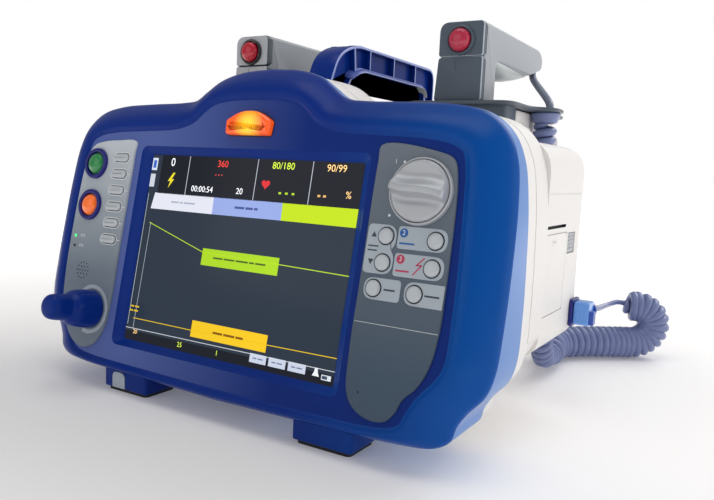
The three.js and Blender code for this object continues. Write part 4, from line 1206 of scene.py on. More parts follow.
@dataclass
class ControlPanels:
    """The two grey panels with their plates, print, keys and knobs."""

    field_n: float = -1.5
    top_n: float = 0.3
    green: Pair = (-136.4, 54.8)
    orange: Pair = (-136.1, 24.5)
    soft_u: float = -111.6
    soft_top: float = 59.9
    soft_pitch: float = 11.7
    speaker: Pair = (-133.0, -23.0)
    nav: Pair = (-118.0, -49.0)
    mode: Pair = (125.9, 49.0)
    mode_radius: float = 17.0
    key_radius: float = 4.4
    keys: dict[str, Pair] = field(default_factory=lambda: {
        "energy_up": (108.7, 23.3), "energy_down": (108.6, 8.6), "charge": (138.4, 23.1),
        "shock": (138.4, 8.4), "sync": (105.3, -5.8), "disarm": (130.3, -6.1)})

    def left_outline(self) -> Array:
        """Left panel outline."""
        return catmull([
            (-100, 72), (-118, 72.6), (-133, 71.4), (-142, 68.8), (-147.4, 62), (-150.2, 48), (-152.2, 0),
            (-151.5, -28), (-148.5, -49), (-141.5, -63.5), (-132, -73), (-121, -76.3), (-110, -72), (-102.6, -60),
            (-100, -40), (-100, 0), (-100, 40), (-100, 64)], 8, True)

    def right_outline(self) -> Array:
        """Right panel outline."""
        return catmull([
            (97.4, 74.2), (133, 71.2), (142, 67.5), (145.2, 58), (147.4, -6.7), (147, -25), (144, -43),
            (138.5, -54.5), (131.5, -62), (127.8, -70), (122.5, -75.4), (113, -76.4), (103, -72.4), (97.3, -64.5),
            (95.3, -42), (95.6, 0), (96.3, 64)], 8, True)[::-1]

    def panels(self, paint: Paint) -> None:
        """The two panel plates with rounded rims."""
        rim = [(0, self.field_n - 0.4), (0, -0.5), (0.2, -0.1), (0.55, 0.15), (1.0, 0.25), (1.6, self.top_n)]
        # Each plate's finish is painted light, lighter towards the top.
        for side, outline, finish, slot in (
            (Side.LEFT, self.left_outline(), paint.left_grey_lit_top, "light_grey_plastic"),
            (Side.RIGHT, self.right_outline(), paint.right_grey_lit_top, "slate_plastic"),
        ):
            name = f"{side.value}_panel"
            piece = Form().raised(outline, rim, PANEL).build(f"{name}_plate", [finish])
            finished(piece, ROOT, [name])

    def right_print(self, paint: Paint) -> None:
        """Light label plates, discs, arrows, bolt and marks on the right panel."""
        plates = [
            rounded_corners([(97.4, 29.4, 2.6), (97.0, 2.4, 2.6), (114.6, 2.4, 6.0), (114.9, 13.4, 3.2),
                             (112.4, 16, 1.6),
                             (114.9, 18.4, 3.2), (114.8, 29.4, 6.0)], 8),
            rounded_corners([(115.8, 17.2, 2.0), (145.2, 17.2, 6.0), (145.2, 29.6, 6.0), (115.9, 29.6, 2.0)], 8),
            rounded_corners([(115.6, 2.2, 2.0), (145.2, 2.2, 6.0), (145.2, 14.8, 6.0), (115.7, 14.8, 2.0)], 8),
            rounded_corners([(99.2, -12, 6.0), (121.8, -12, 2.4), (121.8, 0.1, 2.4), (99.2, 0.1, 6.0)], 8),
            rounded_corners([(124.2, -12.4, 6.0), (147.0, -12.4, 0.6), (147.2, 0.3, 0.6), (124.2, 0.3, 6.0)], 8),
        ]
        form = Form()
        low, high = self.top_n - 0.1, self.top_n + 0.35
        for plate in plates[:1]:
            form.raised(plate[::-1], [(0, low), (0, high - 0.12), (0.15, high)], PANEL)
        for plate in plates[1:]:
            form.raised(plate, [(0, low), (0, high - 0.12), (0.15, high)], PANEL)
        finished(form.build("label_plates", [paint.label]), ROOT)
        print_n = high + 0.03
        ink = Form()
        for outline in (np.array([(99.4, 22.3), (102.9, 22.3), (101.15, 25.4)]),
                        np.array([(101.15, 6.9), (102.9, 10.0), (99.4, 10.0)]),
                        bar(101.6, 17.3, 6.6, 0.8), bar(101.2, 14.9, 5.8, 0.8), bar(115.2, -5.9, 6.8, 1.0),
                        bar(140.6, -6.2, 8.6, 1.0)):
            ink.plate(outline, print_n, PANEL, 0)
        ink.plate(circle(2.5, 32) + (119.3, 25.9), print_n, PANEL, 1)
        ink.plate(bar(121.8, 20.2, 9.2, 1.0), print_n, PANEL, 1)
        ink.plate(circle(2.5, 32) + (119.4, 11.6), print_n, PANEL, 2)
        ink.plate(bar(121.2, 5.3, 8.2, 1.0), print_n, PANEL, 2)
        for part in stroke([(133.4, 13.4), (129.2, 9.2), (132.2, 9.4), (127.9, 4.0)], 0.75):
            ink.plate(part, print_n, PANEL, 2)
        for u, v, r in ((113.4, 64.8, 0.75), (108.6, 34.8, 0.75), (111.2, 43.2, 0.5)):
            ink.plate(circle(r, 20) + (u, v), self.top_n + 0.04, PANEL, 3)
        ink.plate(bar(121.5, -25, 50.6, 0.25), self.top_n + 0.04, PANEL, 3)
        ink.plate(circle(0.75, 16) + (104.9, -62.9), self.top_n + 0.04, PANEL, 4)
        finished(ink.build("panel_print", [
            paint.print_dark, paint.print_blue, paint.print_red, paint.print_white, paint.groove]), ROOT)
        letters("panel_digits", [("2", 3.8, 119.3, 25.9), ("3", 3.8, 119.4, 11.6), ("1", 3.6, 108.4, 64.8)],
                print_n + 0.04, paint.print_white)

    def left_print(self, paint: Paint) -> None:
        """Key outlines, leader lines, indicator lamps and speaker holes on the left panel."""
        form = Form()
        n = self.top_n + 0.04
        for k in range(6):
            v = self.soft_top - self.soft_pitch * k
            band = ring_band(rounded_rect(self.soft_u - 8.6, self.soft_u + 8.6, v - 4.0, v + 4.0, 3.99, 8), 0.5)
            ring = np.concatenate([band, np.full(band.shape[:2] + (1,), n)], axis=2)
            form.grid(ring, PANEL, 0)
            form.plate(bar(-101.6, v, 2.6, 0.4), n, PANEL, 0)
        for u, v in ((-139, 1.2), (-139, -6.1)):
            form.plate(bar(u, v, 4.0, 0.35), n, PANEL, 0)
            form.plate(bar(u, v + 1.3, 4.0, 0.35), n, PANEL, 0)
            form.plate(bar(u + 2.0, v + 0.6, 0.35, 1.6), n, PANEL, 0)
            form.plate(bar(u - 2.0, v + 0.6, 0.35, 1.6), n, PANEL, 0)
        # Speaker holes as flat dark discs: painted shade where the openings are.
        for radius, count in ((0.0, 1), (2.9, 6), (5.7, 12)):
            for i in range(count):
                a = 2 * math.pi * i / count
                away = (radius * math.cos(a), radius * math.sin(a))
                spot = circle(0.62, 14) + (self.speaker[0] + away[0], self.speaker[1] + away[1])
                form.plate(spot, n, PANEL, 1)
        a = np.linspace(-0.6 * math.pi, 0.9 * math.pi, 60)
        arc = lambda r: np.stack([self.nav[0] + r * np.cos(a), self.nav[1] + r * np.sin(a), np.full(60, n)], axis=1)
        form.grid(np.stack([arc(17.2), arc(14.6)]), PANEL, 2, False)
        finished(form.build("left_panel_print", [paint.print_white, paint.groove, paint.label]), ROOT)
        lights = Form().turned(dome(1.2, self.top_n - 0.2, self.top_n + 0.3, 0.5), on_panel(-146.6, 1.2), 0, 20)
        lights.turned(dome(1.2, self.top_n - 0.2, self.top_n + 0.3, 0.5), on_panel(-146.2, -6.1), 1, 20)
        finished(lights.build("indicator_lamps", [paint.led, paint.black]), ROOT)

    def push_buttons(self, paint: Paint) -> None:
        """Green and orange domes, each in a navy collar."""
        collar = [(8.3, -0.2), (8.3, 1.7), (8.6, 2.3), (9.2, 2.6), (10.2, 2.6), (10.9, 2.3), (11.25, 1.6), (11.25, 0.2)]
        for name, spot, colour, slot in (
            ("green", self.green, paint.green, "green_plastic"),
            ("orange", self.orange, paint.orange, "orange_plastic"),
        ):
            at = on_panel(*spot)
            ring = Form().turned([(r, n) for r, n in collar][::-1], at, 0, 56, False, False)
            ring.turned([(8.3, 0.36), (0.01, 0.36)], at, 1, 40, False, True)
            finished(ring.build(f"{name}_collar", [paint.navy, paint.groove]), ROOT,
                     [f"{name}_button_ring"])
            cap = Form().turned(dome(7.5, -3.0, 1.4, 3.0, 12), at, 0, 56)
            finished(cap.build(f"{name}_cap_dome", [colour]), f"{name}_cap", [f"{name}_button"])

    def soft_keys(self, paint: Paint) -> None:
        """Six pill-shaped keys with crowned tops."""
        for k in range(6):
            v = self.soft_top - self.soft_pitch * k
            pill = rounded_rect(-7.2, 7.2, -2.8, 2.8, 2.79, 10)
            rows = [(0, -2.0), (0, 1.0), (0.15, 1.35), (0.45, 1.6), (1.0, 1.78), (1.8, 1.88)]
            seat = Form().raised(inset(pill, -0.45), [(0, 0.2), (0, 0.36)], on_panel(self.soft_u, v))
            finished(seat.build(f"soft_key_seat_{k + 1}", [paint.groove]), ROOT)
            cap = Form().raised(pill, rows, on_panel(self.soft_u, v))
            finished(cap.build(f"soft_key_pill_{k + 1}", [paint.key]), f"soft_key_{k + 1}_cap",
                     [f"soft_key_{k + 1}"])

    def round_keys(self, paint: Paint) -> None:
        """Six round pearl keys, each in a dark groove."""
        for name, spot in self.keys.items():
            at = on_panel(*spot)
            groove = Form().turned([(5.15, 0.55), (5.15, 0.74), (4.3, 0.74), (4.25, 0.3)], at, 0, 40, False, False)
            finished(groove.build(f"{name}_groove", [paint.groove]), ROOT)
            cap = Form().turned(dome(self.key_radius, -2.0, 1.7, 0.75, 8), at, 0, 44)
            finished(cap.build(f"{name}_key", [paint.key]), f"{name}_cap", [f"{name}_button"])

    def mode_knob(self, paint: Paint) -> None:
        """Silver knob: a disc whose face swells into a wavy bar, steep below and gentle above."""
        radius, at = self.mode_radius, on_panel(*self.mode) @ spin(math.radians(-9))
        r = np.concatenate([np.linspace(0.02, 0.94, 26), [0.97, 0.99, 1.0, 1.0]])[::-1] * radius
        a = np.linspace(0, 2 * math.pi, 120, endpoint=False)
        x, y = r[:, None] * np.cos(a)[None], r[:, None] * np.sin(a)[None]
        middle = 1.0 * np.sin(x / radius * math.pi * 0.9)
        across = y - middle
        above = np.exp(-np.clip(across, 0, None) ** 2 / 26.0)
        below = np.exp(-np.clip(-across - 2.0, 0, None) ** 2 / 1.6)
        swell = 6.2 * above * below * (1 - 0.25 * (x / radius) ** 2)
        dip = -0.9 * np.exp(-((across + 5.6) ** 2) / 4.0) * np.clip(1 - (np.abs(x) / radius) ** 2, 0, 1)
        rim = np.clip((1 - r / radius) / 0.07, 0, 1)[:, None] ** 0.5
        height = 3.2 + (1.6 + swell + dip) * rim
        height[0] = 1.0
        grid = np.stack([x, y, height], axis=2)
        form = Form().grid(grid, at, 0, True, False, True)
        form.turned([(radius, 0.9), (radius, 1.0)], at, 0, 120, True, False)
        finished(form.build("mode_knob_cap", [paint.silver], 50), "mode_selector", ["mode_knob"])
        rim_profile = [(17.35, 0.2), (17.35, 2.4), (17.6, 2.9), (18.1, 2.9), (18.5, 2.5), (18.7, 1.2), (18.7, 0.2)]
        ring = Form().turned(rim_profile[::-1], on_panel(*self.mode), 0, 96, False, False)
        ring.turned([(17.35, 0.4), (0.01, 0.4)], on_panel(*self.mode), 1, 64, False, True)
        finished(ring.build("mode_knob_rim", [paint.silver, paint.groove]), ROOT,
                 ["mode_knob_ring"])

    def nav_knob(self, paint: Paint) -> None:
        """Blue knob: a soft skirt with shallow finger flutes, then a rounded nose."""
        profile = np.array([
            (13.3, 0.6), (13.4, 2.0), (13.3, 6.0), (12.9, 11.0), (12.3, 15.0), (11.3, 18.0), (10.0, 19.8), (9.3, 21.0),
            (9.0, 23.0), (8.9, 28.0), (8.6, 31.4), (7.8, 33.8), (6.2, 35.2), (4.0, 35.7), (1.6, 35.8)])
        smooth = catmull(profile, 4)
        a = np.linspace(0, 2 * math.pi, 96, endpoint=False)
        depth = 0.45 * np.clip((smooth[:, 1] - 1.5) / 5, 0, 1) * np.clip((19.5 - smooth[:, 1]) / 5, 0, 1)
        flute = np.clip(np.cos(a * 12), 0, 1)[None] * depth[:, None]
        r = smooth[:, :1] - flute
        grid = np.stack([r * np.cos(a)[None], r * np.sin(a)[None], np.broadcast_to(smooth[:, 1:], r.shape)], axis=2)
        form = Form().grid(grid, on_panel(*self.nav), 0, True, True, True)
        finished(form.build("nav_knob_cap", [paint.blue], 50), "nav_wheel", ["nav_knob"])

    def build(self, paint: Paint) -> None:
        """Makes everything on the two panels."""
        self.panels(paint)
        self.right_print(paint)
        self.left_print(paint)
        self.push_buttons(paint)
        self.soft_keys(paint)
        self.round_keys(paint)
        self.mode_knob(paint)
        self.nav_knob(paint)


# ------------------------------------------------------------------ body


@dataclass
class Housing:
    """White housing: a deep front with its skirt, a wide body with round shoulders, a narrow rear and the deck."""

    bezel: FrontBezel
    side: float = 174.0
    front_inset: float = 1.5
    skirt_end: float = -48.0
    high_end: float = -22.0
    wide_end: float = 66.0
    rear_end: float = 151.0
    shoulder_z: float = 182.0
    deck_z: float = 196.0
    split_z: float = 188.0
    deck_half: float = 131.0
    rear_half: float = 126.0
    rear_under: float = 40.0
    ridge_z: float = 205.5
    ridge_half: float = 47.0
    scoop_half: float = 33.0
    scoop_z: float = 193.0
    pedestal_z: float = 217.2
    well_x: float = 92.3

    def section(self, outline: Array, rows: Sequence[Pair]) -> Array:
        """Rings of an outline drawn in row x and z, at (inset, row y): each one shrinks towards the middle."""
        steps, middle = np.array(rows, float), np.array([0.0, 105.0])
        flat = middle + (outline - middle)[None] * (1 - steps[:, :1, None] / self.side)
        back = np.broadcast_to(steps[:, 1][:, None, None], flat.shape[:2] + (1,))
        return np.concatenate([flat[:, :, :1], back, flat[:, :, 1:]], axis=2)

    def tucked(self, upper: Sequence[Sequence[float]]) -> Array:
        """Right half of a body section above its tucked-in underside, mirrored and closed."""
        half = [(0, 16, 0.1), (103, 16, 4), (112, 30, 9), (138, 41.5, 14), (160, 47.5, 7), *upper]
        right = np.asarray(half, float)
        left = right[:0:-1].copy()
        left[:, 0] *= -1
        points = np.vstack([right, left[left[:, 0] < -0.01]])
        return rounded_corners(points, 8)

    def high_outline(self) -> Array:
        """Front part above the skirt: the bezel's back outline down to the tuck."""
        flat = inset(self.bezel.back_outline(), self.front_inset)
        keep = flat[(flat[:, 1] > 64.0)]
        right = keep[keep[:, 0] >= 0]
        right = right[np.argsort(np.arctan2(right[:, 1] - 100, right[:, 0]))]
        tuck = catmull([(0, 16), (60, 16), (104, 17), (118, 33), (146, 43.5), (164, 49.5),
                        (right[0, 0], right[0, 1])], 8)
        half = np.vstack([tuck[:-1], right])
        left = half[::-1] * (-1, 1)
        return np.vstack([half, left[(left[:, 0] < -0.01)]])

    def main_shell(self, paint: Paint) -> None:
        """Front and wide body, with the recorder opening, grooves and slot cut in the right wall."""
        form = Form()
        skirt = inset(self.bezel.back_outline(), self.front_inset)
        step, soft = self.high_end, 5.0
        rows = [(soft * (1 - math.cos(a)), self.skirt_end - soft * (1 - math.sin(a)))
                for a in np.linspace(0, math.pi / 2, 6)]
        form.grid(self.section(skirt, rows[::-1] + [(0, -69.7)]), UPRIGHT, 0, True, True, True)
        high = self.high_outline()
        rows = [(7 * (1 - math.cos(a)), step - 7 * (1 - math.sin(a))) for a in np.linspace(0, math.pi / 2, 8)]
        form.grid(self.section(high, rows[::-1] + [(0, self.skirt_end - 3)]), UPRIGHT, 0, True, True, True)
        low = self.tucked([(self.side, 56, 8), (self.side, self.shoulder_z, 20)])
        rows = [(16 * (1 - math.cos(a)), self.wide_end - 16 * (1 - math.sin(a)))
                for a in np.linspace(0, math.pi / 2, 10)]
        body = Form().grid(self.section(low, rows[::-1] + [(0, step - 6)]), UPRIGHT, 0, True, True, True)
        wide = body.build("wide_body", [paint.white, paint.groove])
        tool = Form()
        tool.block((160, -38, 75), (180, 19, 126), 0.3)
        tool.block((160, 22, 111), (180, 40, 125), 0.3, 0, 2)
        tool.raised(circle(9.0, 32), [(0, 160), (0, 180)], ALONG_X @ shift(48, 69, 0))
        tool.block((173.5, -28, 150.3), (180, 60, 150.9), 0.1)
        tool.block((171.6, -27, 129.2), (180, 15, 131.2), 0.2, 1)
        cut(wide, tool)
        finished(soften(wide, 0.35, 50), ROOT)
        finished(form.build("main_housing_shell", [paint.white]), ROOT, ["main_housing"])

    def rear_shell(self, paint: Paint) -> None:
        """Narrow rear body, its cover with screws and louvres, and the cover's joint line."""
        form = Form()
        outline = rounded_rect(-self.rear_half, self.rear_half, self.rear_under, self.split_z, 7, 6)
        ring = [(0, -self.rear_end + 0.0), (0, -self.wide_end + 12)]
        back = place((1, 0, 0), (0, 0, 1), (0, -1, 0), (0, 0, 0))
        form.raised(outline, ring, back)
        finished(form.build("rear_housing_shell", [paint.white]), ROOT, ["rear_housing"])
        cover = Form()
        plate = rounded_rect(-self.rear_half, self.rear_half, self.rear_under, self.deck_z, 6, 6)
        flat = plate * (-1, 1)
        cover.raised(flat[::-1], pillow(self.rear_end + 0.3, self.rear_end + 3.3, 0.9), BACKWARD)
        # Louvres as raised dark strips: painted shade where the openings are.
        for i in range(9):
            z = 120 + i * 6.0
            slot = rounded_rect(-60, 60, z - 1.2, z + 1.2, 1.19, 5)
            cover.raised(slot, [(0, self.rear_end + 3.2), (0.1, self.rear_end + 3.35)], BACKWARD, 1)
        for x in (-114, 114):
            for z in (52, 184):
                seat = BACKWARD @ shift(-x, z, 0)
                cover.turned([(4.2, self.rear_end + 3.2), (4.0, self.rear_end + 3.36)], seat, 1, 28)
                head = [(2.9, self.rear_end + 3.3), (2.9, self.rear_end + 3.7), (2.5, self.rear_end + 4.0)]
                cover.turned(head, seat, 2, 24)
        inlet = rounded_rect(66, 98, 52, 76, 3, 5)
        cover.raised(inlet, [(0, self.rear_end + 3.2), (0.3, self.rear_end + 4.2), (3.0, self.rear_end + 4.2),
                             (3.2, self.rear_end - 6)], BACKWARD, 3)
        for x, z in ((74, 63), (82, 67), (90, 63)):
            pin = rounded_rect(x - 1, x + 1, z - 2.4, z + 2.4, 0.5, 3)
            cover.raised(pin, [(0, self.rear_end - 6), (0, self.rear_end + 2.5)], BACKWARD, 2)
        finished(cover.build("rear_cover_plate", [paint.white, paint.groove, paint.steel, paint.black]), ROOT,
                 ["rear_cover", "mains_inlet"])

    def deck(self, paint: Paint) -> None:
        """Deck moulding: shoulders, centre ridge with the hand scoop, pedestals and two paddle wells."""
        form = Form()
        low, high, y0 = self.split_z + 0.2, self.deck_z, self.high_end + 0.3
        span = [(-self.deck_half, self.deck_half, y0, self.wide_end), (-self.rear_half, self.rear_half,
                self.wide_end - 12, self.rear_end)]
        for x0, x1, a, b in span:
            form.raised(rounded_rect(x0, x1, a, b, 5, 6), [(0, low)] + fillet(2.5, high), UPRIGHT)
        outer = rounded_rect(-self.ridge_half, self.ridge_half, y0, self.rear_end, 6, 8, 24)
        centre = (0.0, 67.0)
        mouth = by_angle(outer, rounded_rect(-self.scoop_half, self.scoop_half, 8, 126, 10, 8, 24), centre)
        floor = by_angle(outer, rounded_rect(-self.scoop_half + 6, self.scoop_half - 6, 14, 120, 8, 8, 24), centre)
        flat = lambda ring, z: np.concatenate([ring, np.full((len(ring), 1), z)], axis=1)
        rows = [flat(outer, high - 2)] + [flat(inset(outer, d), z) for d, z in fillet(3.0, self.ridge_z)]
        rows.append(flat(inset(mouth, -2.0), self.ridge_z))
        rows.append(flat(inset(mouth, -0.6), self.ridge_z - 0.5))
        rows += [flat(mouth * (1 - s) + floor * s, self.ridge_z - 1.6 - (self.ridge_z - 1.6 - self.scoop_z) *
                      math.sin(s * math.pi / 2)) for s in np.linspace(0, 1, 7)]
        form.grid(np.stack(rows), UPRIGHT, 0, True, True, True)
        for a, b in ((y0, 6), (129, self.rear_end)):
            form.block((-19, a, high), (19, b, self.pedestal_z), 1.6, corner=4)
        for side in (-1, 1):
            x = side * self.well_x
            rim = rounded_rect(x - 34.3, x + 34.3, 42.2, 136.3, 5, 6)
            top = 206.4
            form.raised(rim, [(0, high - 1), (0, top - 1.2), (0.4, top - 0.4), (1.0, top), (2.2, top),
                              (2.8, top - 0.6), (3.0, top - 1.4), (3.1, high - 0.4)], UPRIGHT)
        finished(form.build("top_deck_moulding", [paint.white]), ROOT, ["top_deck"])

    def details(self, paint: Paint) -> None:
        """Recorder door and latch on the right wall."""
        door = rounded_rect(-37.6, 18.6, 75.4, 125.6, 3, 6)
        form = Form().raised(door, pillow(self.side - 2.2, self.side + 0.1, 0.5), ALONG_X)
        form.raised(rounded_rect(-14, -4, 118.5, 123.2, 2.3, 6),
                    [(0, self.side), (0.3, self.side + 0.35), (1.4, self.side + 0.35),
                     (1.7, self.side + 0.12)], ALONG_X, 0)
        finished(form.build("recorder_door_panel", [paint.white]), "recorder_door", ["printer_door"])
        latch = Form().raised(rounded_rect(22.4, 39.6, 111.4, 124.6, 2, 5),
                              pillow(self.side - 5, self.side - 0.4, 0.6), ALONG_X)
        for i in range(4):
            z = 114.4 + i * 2.6
            latch.raised(rounded_rect(25, 37, z - 0.5, z + 0.5, 0.49, 4),
                         [(0, self.side - 0.6), (0.2, self.side + 0.1)], ALONG_X)
        finished(latch.build("recorder_latch", [paint.slate_light]), ROOT, ["printer_latch"])


# ------------------------------------------------------------------ handle and paddles


@dataclass
class CarryHandle:
    """Fixed blue handle: a bow with a thin web, a rim and ribs on both sides, and a flared lip under the hand."""

    half: float = 10.5
    front_y: float = -21.0
    rear_y: float = 150.0
    foot_z: float = 217.5
    top_z: float = 252.0
    grip_z: float = 233.5
    web: float = 6.0
    wall: float = 2.4
    rib: float = 1.0
    ribs: tuple[float, ...] = (35.0, 73.5, 112.0)

    def outline(self) -> Array:
        """Side view in row y and z."""
        return rounded_corners([
            (self.front_y, self.foot_z, 3.0), (3.5, self.foot_z, 3.0), (15, self.grip_z, 8), (129, self.grip_z, 6),
            (132, self.foot_z, 3.0), (self.rear_y, self.foot_z, 3.0), (self.rear_y, self.top_z, 12),
            (11.0, self.top_z, 14), (-10.5, 241.0, 10)], 8)

    def build(self, paint: Paint) -> None:
        """Bow with a thin web and a rim round each side, its ribs and the lip."""
        half, wall = self.half, self.wall
        edge = [(wall, self.web), (wall, half - 0.4), (wall - 0.4, half), (0.9, half),
                (0.25, half - 0.25), (0, half - 0.9)]
        rows = [(d, -x) for d, x in edge] + edge[::-1]
        form = Form().raised(self.outline(), rows, ALONG_X)
        low, high = self.grip_z + 1.0, self.top_z - 1.5
        ribs = [rounded_rect(y - self.rib, y + self.rib, low, high, 0.3, 2) for y in self.ribs]
        ribs.append(rounded_corners([(12.6, self.grip_z - 2.5, 0.3), (15.2, self.grip_z - 0.5, 0.3), (12.6, high, 0.3),
                                     (10.4, high, 0.3)], 2))
        for rib in ribs:
            form.raised(rib, [(0, self.web - 0.5), (0, half - 0.5), (0.3, half - 0.05)], ALONG_X)
            form.raised(rib, [(0.3, 0.05 - half), (0, 0.5 - half), (0, 0.5 - self.web)], ALONG_X)
        piece = form.build("carry_handle_bow", [paint.blue, paint.navy, paint.edge_highlight])
        log.info("handle rim: %d faces", self.highlight_faces(piece))
        finished(piece, ROOT, ["carry_handle"])
        self.lip(paint)

    def lip(self, paint: Paint) -> None:
        """Flared lip: a rounded rim on each side and an arched underside; both ends curl down. Its upper side is a
        lighter blue, a painted highlight, and its underside is pale grey, a painted reflection of the white deck below.
        """
        t = np.linspace(0, 1, 60)
        y = 6.0 + t * 126.0
        ends = np.clip(1 - t / 0.16, 0, 1) ** 2.2 + np.clip((t - 0.9) / 0.1, 0, 1) ** 2.2
        level = self.grip_z - 1.2 - 7.0 * ends
        wide = (self.half + 4.5) * (1 - 0.12 * ends)
        a = np.linspace(0, 2 * math.pi, 40, endpoint=False)
        across = np.cos(a)
        above = np.sin(a) > 0.02
        arch = 3.2 * (1 - across**2)
        lift = np.where(above, 1.6 * np.abs(np.sin(a)) ** 0.6 + arch, arch * 0.9 - 0.5 * np.abs(np.sin(a)) ** 0.5)
        grid = np.stack([np.broadcast_to(wide[:, None] * across[None], (60, 40)),
                         np.broadcast_to(y[:, None], (60, 40)), level[:, None] + lift[None]], axis=2)
        form = Form().grid(grid[:, ::-1], UPRIGHT, 0, True, True, True)
        under = (~above)[::-1]
        # Faces under the lip take finish 1, the painted reflection.
        form.finish[:59 * 40] = np.where(np.tile(under, 59), 1, 0).tolist()
        finished(form.build("carry_handle_lip", [paint.lip_highlight, paint.pale_rest_and_reflection], 60), ROOT)

    def highlight_faces(self, piece: Object) -> int:
        """Gives the flat side faces of the bow and its ribs the pale finish, a painted highlight: those that face along
        x.
        """
        mesh = piece.data
        normals = np.empty(len(mesh.polygons) * 3)
        mesh.polygons.foreach_get("normal", normals)
        centres = np.empty(len(mesh.polygons) * 3)
        mesh.polygons.foreach_get("center", centres)
        kinds = np.empty(len(mesh.polygons), np.int32)
        mesh.polygons.foreach_get("material_index", kinds)
        sideways = np.abs(normals.reshape(-1, 3)[:, 0]) > 0.75
        outer = np.abs(centres.reshape(-1, 3)[:, 0]) > (self.half - 1.0) * MM
        kinds[sideways & outer] = 2
        mesh.polygons.foreach_set("material_index", kinds)
        return int((sideways & outer).sum())


@dataclass
class Paddle:
    """A lift-off paddle: post and grip, slate front cover, base plate with its block, electrode and thumb button."""

    side: Side
    middle: float = 92.3
    front_y: float = 17.0
    width: float = 33.0
    length: float = 135.0
    top_z: float = 264.0
    under_z: float = 240.2
    post: float = 28.0
    plate_top: float = 210.2
    plate_thick: float = 3.0
    button_z: float = 251.0

    @property
    def body(self) -> str:
        """Body name."""
        return f"paddle_{self.side.value}"

    @property
    def x(self) -> float:
        """Row x of the paddle's middle."""
        return self.side.sign * self.middle

    def grip(self, paint: Paint) -> None:
        """Two half shells with a joint line, and a finger rest under the front of the grip."""
        y0, y1 = self.front_y + 3.0, self.front_y + self.length
        shape = rounded_corners([
            (y0, self.plate_top + 0.1, 2.9), (self.front_y + self.post, self.plate_top + 0.1, 2.9),
            (self.front_y + self.post, self.under_z, 5.5), (y1 - 30, self.under_z, 8), (y1, 249.0, 5),
            (y1, self.top_z - 5.5, 4), (y1 - 8.5, self.top_z, 5), (y0, self.top_z, 2.9)], 8)
        half = self.width / 2
        out = ALONG_X @ shift(0, 0, self.x)
        form = Form()
        form.raised(shape, [(0, -half + 2.6)] + [(0, half - 2.6)] + fillet(2.6, half, 5)[1:], out, 0, False, True)
        left = [(d, -z) for d, z in fillet(2.6, half, 5)[::-1]]
        form.raised(shape, left + [(0, -half + 2.6)], out, 0, True, False)
        # The left grip takes a darker copy of the grip slate: painted shade.
        tone = paint.slate_light if self.side is Side.RIGHT else paint.shaded_slate
        piece = form.build(f"paddle_grip_shell_{self.side.value}", [tone], 28)
        finished(piece, self.body, [f"paddle_grip_{self.side.value}"])
        rest = Form()
        t = np.linspace(0, 1, 24)
        a = np.linspace(math.pi, 2 * math.pi, 24)
        deep = 12.0 * np.sin(np.clip(0.02 + t * 0.98, 0, 1) * math.pi) ** 0.5 * (1 - 0.5 * t)
        wide = (half - 1.2) * (1 - 0.25 * t**2)
        y = self.front_y + self.post - 2 + t * 84
        grid = np.stack([self.x + wide[:, None] * np.cos(a)[None], np.broadcast_to(y[:, None], (24, 24)),
                         self.under_z + 0.6 + deep[:, None] * np.sin(a)[None]], axis=2)
        rest.grid(grid[:, ::-1], UPRIGHT, 0, True, True, True)
        finished(rest.build(f"finger_rest_{self.side.value}", [paint.pale_rest_and_reflection]), self.body)

    def cover(self, paint: Paint) -> None:
        """Front cover in two fields with a joint line below the button, a chamfer and a faint rib; the chamfer is pale
        on the right paddle, a painted highlight, and dark on the left, a painted shadow.
        """
        half = self.width / 2
        face = place((1, 0, 0), (0, 0, 1), (0, -1, 0), (self.x, self.front_y + 3.2, 0))
        right = self.side is Side.RIGHT
        # Right paddle: the pale label grey on the chamfer is a painted highlight. Left paddle: the dark slate on the
        # side and chamfer is a painted shadow, and the thin pale band at the back is a painted highlight.
        main, chamfer = (paint.slate_dark, paint.label) if right else (paint.slate_mid, paint.slate_shadow)
        upper = rounded_corners([(-half, self.under_z + 0.15, 2.2), (half, self.under_z + 0.15, 2.2),
                                 (half, self.top_z, 3.4), (-half, self.top_z, 7.5)], 8)
        lower = rounded_corners([(-half - 2.2, self.plate_top + 0.1, 2.2), (half, self.plate_top + 0.1, 2.2),
                                 (half, self.under_z - 0.15, 2.2), (-half, self.under_z - 0.15, 2.2)], 6)
        form = Form()
        for field in (upper, lower):
            form.raised(field, [(0, -3.0), (0, -2.2)], face, 0 if right else 3, True, False)
            form.raised(field, [(0, -2.2), (0, 1.9)], face, 0 if right else 2, False, False)
            form.raised(field, [(0, 1.9), (0.15, 2.5), (0.5, 3.0)], face, 2, False, False)
            form.raised(field, [(0.5, 3.0), (0.75, 3.15), (0.9, 3.2)], face, 0, False, True)
        form.raised(rounded_rect(-3.2, -2.9, self.under_z - 9, self.under_z - 1.5, 0.1, 3),
                    [(0, 3.1), (0.05, 3.28)], face, 1)
        finished(form.build(f"paddle_cover_{self.side.value}", [main, paint.groove, chamfer, paint.label]), self.body)

    def button(self, paint: Paint) -> None:
        """Glossy thumb button in a black ring."""
        at = place((1, 0, 0), (0, 0, 1), (0, -1, 0), (self.x, self.front_y, self.button_z))
        rows = [(8.35, 0.1), (8.35, 2.2), (8.7, 2.9), (9.4, 3.1), (10.0, 2.7), (10.3, 1.8), (10.3, 0.05)]
        ring = Form().turned(rows[::-1], at, 0, 56, False, False)
        ring.turned([(8.35, 0.3), (0.01, 0.3)], at, 0, 32, False, True)
        finish = paint.black if self.side is Side.LEFT else paint.slate_dark
        finished(ring.build(f"fire_collar_{self.side.value}", [finish]), self.body,
                 [f"fire_ring_{self.side.value}"])
        red = paint.red if self.side is Side.LEFT else paint.red_soft
        cap = Form().turned(dome(7.75, -3.1, 3.8, 3.6, 14), at, 0, 64)
        finished(cap.build(f"fire_dome_{self.side.value}", [red]), f"fire_cap_{self.side.value}",
                 [f"fire_button_{self.side.value}"])

